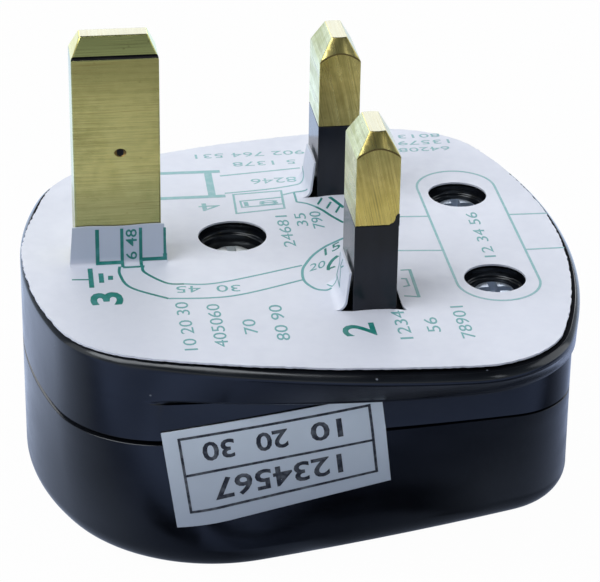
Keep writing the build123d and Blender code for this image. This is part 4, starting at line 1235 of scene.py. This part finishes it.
class PLUG_OT_make_body(bpy.types.Operator):
    """Make the two glossy mouldings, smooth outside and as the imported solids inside"""
    bl_idname = "plug.make_body"
    bl_label = "Make body"

    def execute(self, context):
        looks = context.scene.plug_body
        finish = moulding_finish(looks)
        wall = outer_ring("base", PARTING)
        self.make_base(looks, wall, finish)
        self.make_cover(looks, wall, finish)
        return {"FINISHED"}

    def make_base(self, looks, wall, finish):
        """The pin-face moulding, with its flange, its slots and its screws' bores."""
        foot_level, rim_level = 18.35 * MM, 21.1 * MM
        soft = 0.04 * MM
        foot = outer_ring("base", PARTING, foot_level)
        rim = outer_ring("base", PARTING, rim_level)
        gaps = [max(0.0, (f - w).dot(n)) for f, w, n in zip(foot, wall, ring_normals(foot))]
        cut = [looks.undercut_depth * held((g - 0.02 * MM) / (0.16 * MM)) for g in gaps]
        under = foot_level - looks.foot_round - 0.05 * MM
        rings = [at_level(wall, PARTING, soft), at_level(wall, PARTING + soft),
                 at_level(wall, under - looks.undercut_height - 0.05 * MM),
                 at_level(wall, under - looks.undercut_height, cut), at_level(wall, under, cut)]
        steps = 5
        for k in range(steps + 1):
            turn = 0.5 * math.pi * k / steps
            inset = [min(g, looks.foot_round) * (1.0 - math.sin(turn)) for g in gaps]
            rings.append(at_level(foot, foot_level - looks.foot_round * math.cos(turn), inset))
        rings.append(at_level(rim, rim_level))
        rings += self.rim_edge(rim, looks.rim_round)
        base = loft("moulded_base", rings)
        carve(base, inner_space("base", wall, PARTING - 1.0 * MM, PIN_FACE - 1.0 * MM, INSIDE_DEPTH))
        carve(base, bore_cutter(COVER_SCREW, looks.cover_bore, looks, PIN_FACE - 3.2 * MM))
        for middle in GRIP_SCREWS:
            carve(base, bore_cutter(middle, looks.grip_bore, looks, PIN_FACE - 2.4 * MM))
        low, high = PIN_FACE - 1.4 * MM, PIN_FACE + 1.0 * MM
        for x, y, half in ((EARTH_MIDDLE, 0.0, EARTH_SLOT), (0.0, -ROW_HALF, SIDE_SLOT),
                           (0.0, ROW_HALF, SIDE_SLOT)):
            carve(base, box_cutter((x - half[0], y - half[1], low), (x + half[0], y + half[1], high)))
        carve(base, inlet_cutter())
        finish_piece(base, [finish], ("base",))

    def rim_edge(self, rim, size):
        """The bevel round the pin face, softened at both of its edges."""
        soft = 0.16 * size
        steps = ((0.0, size + soft), (0.12 * soft, size + 0.45 * soft), (0.5 * soft, size - 0.3 * soft),
                 (0.30 * size, 0.66 * size), (0.62 * size, 0.33 * size), (size - 0.3 * soft, 0.5 * soft),
                 (size + 0.45 * soft, 0.12 * soft), (size + 1.2 * soft, 0.0))
        return [at_level(rim, PIN_FACE - drop, inset) for inset, drop in steps]

    def groove(self, looks, x):
        """The parting groove's height, which is less towards the cord end."""
        return looks.groove_height * (1.0 - 0.6 * held((x + 14.0 * MM) / (22.0 * MM)))

    def make_cover(self, looks, wall, finish):
        """The back moulding, with its rounded back and the parting groove."""
        back = outer_ring("cover", looks.back_round)
        top = PARTING - looks.groove_height
        rings = rounding(back, looks.back_round, looks.back_round, 14)[::-1]
        rings.append(at_level(back, looks.back_round))
        bands = 6
        for k in range(1, bands):
            level = looks.back_round + (top - looks.back_round) * k / bands
            rings.append(at_level(outer_ring("cover", level), level))
        for inset, drop in ((0.0, 0.04 * MM), (0.04 * MM, 0.0), (looks.groove_depth, 0.0)):
            rings.append([Vector((p.x, p.y, PARTING - drop - self.groove(looks, p.x)))
                          for p in at_level(wall, PARTING, inset)])
        lip_depth, lip_top = 1.2 * MM, PARTING + 1.6 * MM
        rings += [at_level(wall, PARTING, looks.groove_depth), at_level(wall, PARTING, lip_depth),
                  at_level(wall, lip_top, lip_depth)]
        cover = loft("moulded_cover", rings)
        carve(cover, inner_space("cover", back, 1.3 * MM, lip_top + 1.0 * MM, INSIDE_DEPTH))
        carve(cover, inlet_cutter())
        finish_piece(cover, [finish], ("cover",))


class PLUG_OT_make_pins(bpy.types.Operator):
    """Make the brass pins and the insulating sleeves with softened edges"""
    bl_idname = "plug.make_pins"
    bl_label = "Make pins"

    def execute(self, context):
        looks = context.scene.plug_pins
        # painted shade: the pins' flat ends get a darker, paler brass that holds down the back light's
        # reflection
        pale = brass_finish("painted_shade_end_brass", looks.end_shade_colour, looks.end_shade_colour, looks.streak_colour,
                            depth=0.5)
        self.make_earth_pin(looks, pale)
        self.make_side_pins(looks, pale)
        black = sleeve_finish(looks)
        for node in ("line_sleeve", "neutral_sleeve"):
            sleeve = edged_copy("black_" + node, node, looks.sleeve_edge, PIN_FACE)
            if node == "line_sleeve":
                self.add_flash(sleeve)
            finish_piece(sleeve, [black], (node,))
        return {"FINISHED"}

    def make_earth_pin(self, looks, pale):
        """The milled earth pin and the marks on it, with painted shade towards its ends and on its flat end,
        painted light on its top bevels and a painted highlight on its left bevel.
        """
        shade, streak = looks.shade_colour, looks.streak_colour
        # painted shade below the bevels and towards the foot; a lighter brass above 42.8 mm is painted light
        # on the top bevels
        tones = ((shade, 37.5, 42.0, 0.72), (shade, 32.0, 28.0, 0.60),
                 (looks.lit_bevel_colour, 42.80, 42.95, 0.90))
        milled = brass_finish("milled_brass", looks.brass_colour, looks.tarnish_colour, streak,
                              0.0, 120.0, 0.75, 0.17, tones)
        dark = plain_metal_finish("dark_pit", looks.pit_colour, 0.6)
        brown = plain_metal_finish("brown_halo", looks.halo_colour, 0.4)
        # painted highlight: the earth pin's up-left bevel gets a brighter brass of its own
        left_highlight = brass_finish("painted_highlight_brass", looks.left_highlight_colour, looks.left_highlight_colour, streak, depth=0.5)
        earth = edged_copy("brass_earth_pin", "earth_pin", looks.edge_round, PIN_FACE)
        self.cut_earth_marks(earth)
        finish_piece(earth, [milled, dark, brown, pale, left_highlight], ("earth_pin",))
        dark_mark, brown_mark, shaded_end, left_bevel = 1, 2, 3, 4
        for face in earth.data.polygons:
            middle, normal = face.center, face.normal
            if middle.z > EARTH_SHOULDER and normal.z > FLAT_TOP:
                face.material_index = shaded_end
            elif middle.z > EARTH_SHOULDER and normal.x < -0.5:
                face.material_index = left_bevel
            from_pit = (middle - PIT).length
            if from_pit < PIT_HALO and middle.y > EARTH_FRONT + 0.004 * MM:
                face.material_index = dark_mark if from_pit < PIT_DARK else brown_mark
            by_groove = abs(middle.z - GROOVE.z) < 0.26 * MM and abs(middle.y - GROOVE.y) < 0.2 * MM
            aslant = abs(abs(normal.z) - math.sqrt(0.5)) < 0.05
            if by_groove and aslant and face.area > 0.2 * MM * MM:
                face.material_index = dark_mark

    def make_side_pins(self, looks, pale):
        """The sawn pins: the front one golder towards its foot, both with painted shade towards their ends,
        painted highlights on their left flanks, painted shade on their flat ends and a painted dark line
        under their bevels.
        """
        shade, streak = looks.shade_colour, looks.streak_colour
        # golder brass towards the front pin's foot, painted shade below its bevel, and a lighter stained
        # brass on the bevel itself
        rubbed = ((looks.gold_colour, 35.6, 32.6, 0.55), (shade, 35.3, 37.6, 0.60),
                  (looks.stain_colour, 38.2, 38.8, 0.70))
        # painted shade towards both ends of the back pin
        dulled = ((shade, 35.3, 37.6, 0.40), (shade, 35.0, 31.5, 0.30))
        # painted highlight: a paler brass on the side pins' left flanks, which face the bright room
        drawn = brass_finish("painted_highlight_flank_brass", looks.flank_highlight_colour, looks.tarnish_colour, streak, depth=0.8)
        # painted shade: a dark line on the front and back edge roundings at the foot of the side pins' bevels
        line = plain_metal_finish("painted_shade_line", looks.shade_line_colour, 0.4)
        shaded_bevel_line, left_flank, shaded_end = 1, 2, 3
        for node, name, tones in (("line_pin", "front_sawn_brass", rubbed),
                                  ("neutral_pin", "shaded_back_sawn_brass", dulled)):
            sawn = brass_finish(name, looks.sawn_colour, looks.stain_colour, streak, tones=tones)
            pin = edged_copy("brass_" + node, node, looks.edge_round, PIN_FACE)
            finish_piece(pin, [sawn, line, drawn, pale], (node,))
            for face in pin.data.polygons:
                normal = face.normal
                if normal.x < -0.6:
                    face.material_index = left_flank
                if normal.z > FLAT_TOP and face.center.z > SIDE_HIGH.z - 2.0 * MM:
                    face.material_index = shaded_end
                if 0.06 < normal.z < 0.50 and abs(normal.y) > 0.6:
                    face.material_index = shaded_bevel_line

    def add_flash(self, sleeve):
        """Add the small tooth of moulding flash at the top of the front sleeve."""
        outline = ((1.15, 30.80), (2.02, 30.80), (2.02, 31.95), (1.85, 32.0), (1.68, 31.75), (1.6, 31.35),
                   (1.45, 31.12), (1.15, 31.0))
        rings = [[(x * MM, FRONT_LOW.y + y * MM, z * MM) for x, z in outline] for y in (-0.03, 0.12)]
        flash = loft("flash", rings)
        bm = bmesh.new()
        bm.from_mesh(sleeve.data)
        bm.from_mesh(flash.data)
        bm.to_mesh(sleeve.data)
        bm.free()
        discard(flash)

    def cut_earth_marks(self, pin):
        """Cut the small pit and the tool's line at the foot of the front bevel."""
        bm = bmesh.new()
        place = Matrix.Translation(PIT + Vector((0.0, -0.24 * MM, 0.0)))
        bmesh.ops.create_uvsphere(bm, u_segments=24, v_segments=14, radius=PIT_RADIUS,
                                  matrix=place @ Matrix.Diagonal((1.35, 1.0, 1.0, 1.0)))
        carve(pin, to_object("cutter", bm))
        bm = bmesh.new()
        turn = Matrix.Translation(GROOVE) @ Matrix.Rotation(math.radians(45.0), 4, "X")
        size = Matrix.Diagonal((9.0 * MM, GROOVE_SIDE, GROOVE_SIDE, 1.0))
        bmesh.ops.create_cube(bm, size=1.0, matrix=turn @ size)
        carve(pin, to_object("cutter", bm))


class PLUG_OT_make_screws(bpy.types.Operator):
    """Make the screws that show in the holes of the pin face"""
    bl_idname = "plug.make_screws"
    bl_label = "Make screws"

    def execute(self, context):
        looks = context.scene.plug_screws
        # painted light: the cover screw gets a near-white plate, the grip screws a plain dull one
        for node, name, plate, tone in (
                ("cover_screw", "zinc_cover_screw", "painted_light_zinc_plate", looks.lit_zinc_colour),
                ("cord_grip_screws", "zinc_grip_screws", "dull_zinc_plate", looks.dull_colour)):
            screw = edged_copy(name, node, looks.edge_round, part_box(node)[1].z - 1.6 * MM)
            finish_piece(screw, [zinc_finish(plate, tone)], (node,))
        return {"FINISHED"}


class PLUG_OT_make_card(bpy.types.Operator):
    """Make the card that is slipped over the pins, with its folded flaps and its print"""
    bl_idname = "plug.make_card"
    bl_label = "Make card"

    def execute(self, context):
        looks = context.scene.plug_card
        flat = FlatCard(looks)
        card = to_object("printed_card", card_sheet(flat))
        thicken(card, looks.thickness)
        finish_piece(card, [card_finish(looks)], ("instruction_card",), 40.0)
        ink, thin, pale = looks.ink_colour, looks.thin_colour, looks.pale_colour
        worn = tuple(0.6 * a + 0.4 * b for a, b in zip(pale, looks.card_colour))
        for name, draw, finish in (("strong_print", strong_print, ink_finish("green_ink", ink, thin)),
                                   ("number_print", small_print, ink_finish("thin_green_ink", thin, pale)),
                                   ("pale_print", pale_print, ink_finish("worn_green_ink", pale, worn))):
            layer = Print(lambda p: flat.printed(p.x, p.y, looks.ink_height))
            draw(layer)
            layer.lay(name, self.under_card, looks.ink_height, finish)
        return {"FINISHED"}

    def under_card(self, normal):
        """Whether a face looks away from the card's printed side, flat or on the earth pin's flap."""
        return normal.z < -0.2 or (abs(normal.z) <= 0.2 and normal.y > 0.0)


class PLUG_OT_make_label(bpy.types.Operator):
    """Make the paper label on the side and its plain numbers"""
    bl_idname = "plug.make_label"
    bl_label = "Make label"

    def execute(self, context):
        looks = context.scene.plug_label
        self.looks = looks
        self.middle = (LABEL_LOW + LABEL_HIGH) / 2
        bm = bmesh.new()
        bm.from_mesh(frame["nodes"]["test_label"].data)
        self.surface = BVHTree.FromBMesh(bm)
        bm.free()
        paper = self.make_paper(looks)
        finish_piece(paper, [paper_finish(looks)], ("test_label",), 50.0)
        dark = looks.print_colour
        faint = tuple(0.75 * a + 0.25 * b for a, b in zip(dark, looks.paper_colour))
        self.make_numbers(ink_finish("label_ink", dark, faint))
        return {"FINISHED"}

    def on_label(self, u, v, rise=0.0):
        """A point of the flat label, laid on the plug's side."""
        looks = self.looks
        c, s = math.cos(looks.tilt), math.sin(looks.tilt)
        x = self.middle.x + u * c - v * s
        z = self.middle.z + u * s + v * c
        hit, normal, _, _ = self.surface.ray_cast(Vector((x, -1.0, z)), Vector((0.0, 1.0, 0.0)))
        if hit is None:
            raise RuntimeError("a point of the label is off the plug's side")
        return hit + normal * rise

    def make_paper(self, looks):
        """The label as a thin sheet on the plug's side."""
        wide, tall = looks.width - 0.06 * MM, looks.height - 0.06 * MM
        across, down = 60, 30
        bm = bmesh.new()
        add_grid(bm, [[self.on_label(wide * (i / across - 0.5), tall * (j / down - 0.5))
                       for i in range(across + 1)] for j in range(down + 1)])
        bmesh.ops.recalc_face_normals(bm, faces=bm.faces)
        if sum(f.normal.y for f in bm.faces) > 0.0:
            bmesh.ops.reverse_faces(bm, faces=bm.faces)
        paper = to_object("paper_label", bm)
        thicken(paper, looks.thickness)
        return paper

    def make_numbers(self, ink):
        """The label's ruled frame and its plain numbers."""
        rise = 0.015 * MM
        layer = Print(lambda p: self.on_label(p.x, p.y, rise))
        left, right, low, middle, high = -8.5, 8.75, -3.5, 0.25, 4.05
        frame_line = 0.25
        layer.line(frame_line, (left, low), (right, low), (right, high), (left, high), closed=True)
        layer.line(frame_line, (left, middle), (right, middle))
        for text, start in (("10", 6.1), ("20", 1.15), ("30", -3.7)):
            layer.numbers(text, (start, 3.35), 2.0, 2.9, 0.02, TURNED)
        layer.numbers("1234567", (5.7, -0.55), 2.2, 11.8, 0.018, TURNED)
        layer.lay("label_numbers", lambda n: n.y > 0.0, rise, ink)


class PLUG_OT_finish_inside(bpy.types.Operator):
    """Give the parts inside the body their finishes"""
    bl_idname = "plug.finish_inside"
    bl_label = "Finish inside"

    def execute(self, context):
        looks = context.scene.plug_inside
        pins = context.scene.plug_pins
        brass = brass_finish("turned_brass", pins.brass_colour, pins.tarnish_colour, pins.streak_colour,
                             0.0, 90.0, 0.2, 0.17)
        finishes = {
            "pin_brass": brass, "screw_brass": brass,
            "zinc_steel": zinc_finish("inner_zinc_plate", context.scene.plug_screws.dull_colour),
            "grip_plastic": dull_finish("dull_grip_plastic", looks.grip_colour, 0.45),
            "clip_bronze": plain_metal_finish("rolled_bronze", looks.bronze_colour, 0.28),
            "fuse_cap_metal": plain_metal_finish("plated_caps", looks.cap_colour, 0.2),
            "fuse_ceramic": dull_finish("unglazed_ceramic", looks.ceramic_colour, 0.6),
            "black_moulding": moulding_finish(context.scene.plug_body),
            "sleeve_plastic": sleeve_finish(pins),
            "card": card_finish(context.scene.plug_card),
            "label_paper": paper_finish(context.scene.plug_label),
        }
        for row in frame["record"]["subparts"]:
            part = frame["nodes"][row["node"]]
            for held in part.material_slots:
                held.material = finishes[row["material_slot"]]
        return {"FINISHED"}


class PLUG_PT_panel(bpy.types.Panel):
    """The plug's steps, in the order in which they are made"""
    bl_idname = "PLUG_PT_panel"
    bl_label = "Three-pin plug"
    bl_space_type = "VIEW_3D"
    bl_region_type = "UI"
    bl_category = "Plug"

    def draw(self, context):
        for operator in OPERATORS:
            self.layout.operator(operator.bl_idname)
        for name in SETTINGS:
            box = self.layout.box()
            box.label(text=name.replace("_", " "))
            group = getattr(context.scene, name)
            for key in group.bl_rna.properties.keys():
                if key not in ("rna_type", "name"):
                    box.prop(group, key)


SETTINGS = {
    "plug_body": PlugBodySettings, "plug_pins": PlugPinSettings, "plug_screws": PlugScrewSettings,
    "plug_card": PlugCardSettings, "plug_label": PlugLabelSettings, "plug_inside": PlugInsideSettings,
    "plug_stage": PlugStageSettings,
}
OPERATORS = (PLUG_OT_make_stage, PLUG_OT_make_body, PLUG_OT_make_pins, PLUG_OT_make_screws,
             PLUG_OT_make_card, PLUG_OT_make_label, PLUG_OT_finish_inside)
CLASSES = (*SETTINGS.values(), *OPERATORS, PLUG_PT_panel)


def register():
    """Add the plug's settings, steps and panel."""
    for kind in CLASSES:
        bpy.utils.register_class(kind)
    for name, kind in SETTINGS.items():
        setattr(bpy.types.Scene, name, PointerProperty(type=kind))


def unregister():
    """Take the plug's settings, steps and panel away again."""
    for name in SETTINGS:
        delattr(bpy.types.Scene, name)
    for kind in reversed(CLASSES):
        bpy.utils.unregister_class(kind)


def main():
    """Make the plug step by step."""
    register()
    bpy.ops.plug.make_stage()
    bpy.ops.plug.make_body()
    bpy.ops.plug.make_pins()
    bpy.ops.plug.make_screws()
    bpy.ops.plug.make_card()
    bpy.ops.plug.make_label()
    bpy.ops.plug.finish_inside()


if __name__ == "__main__":
    main()
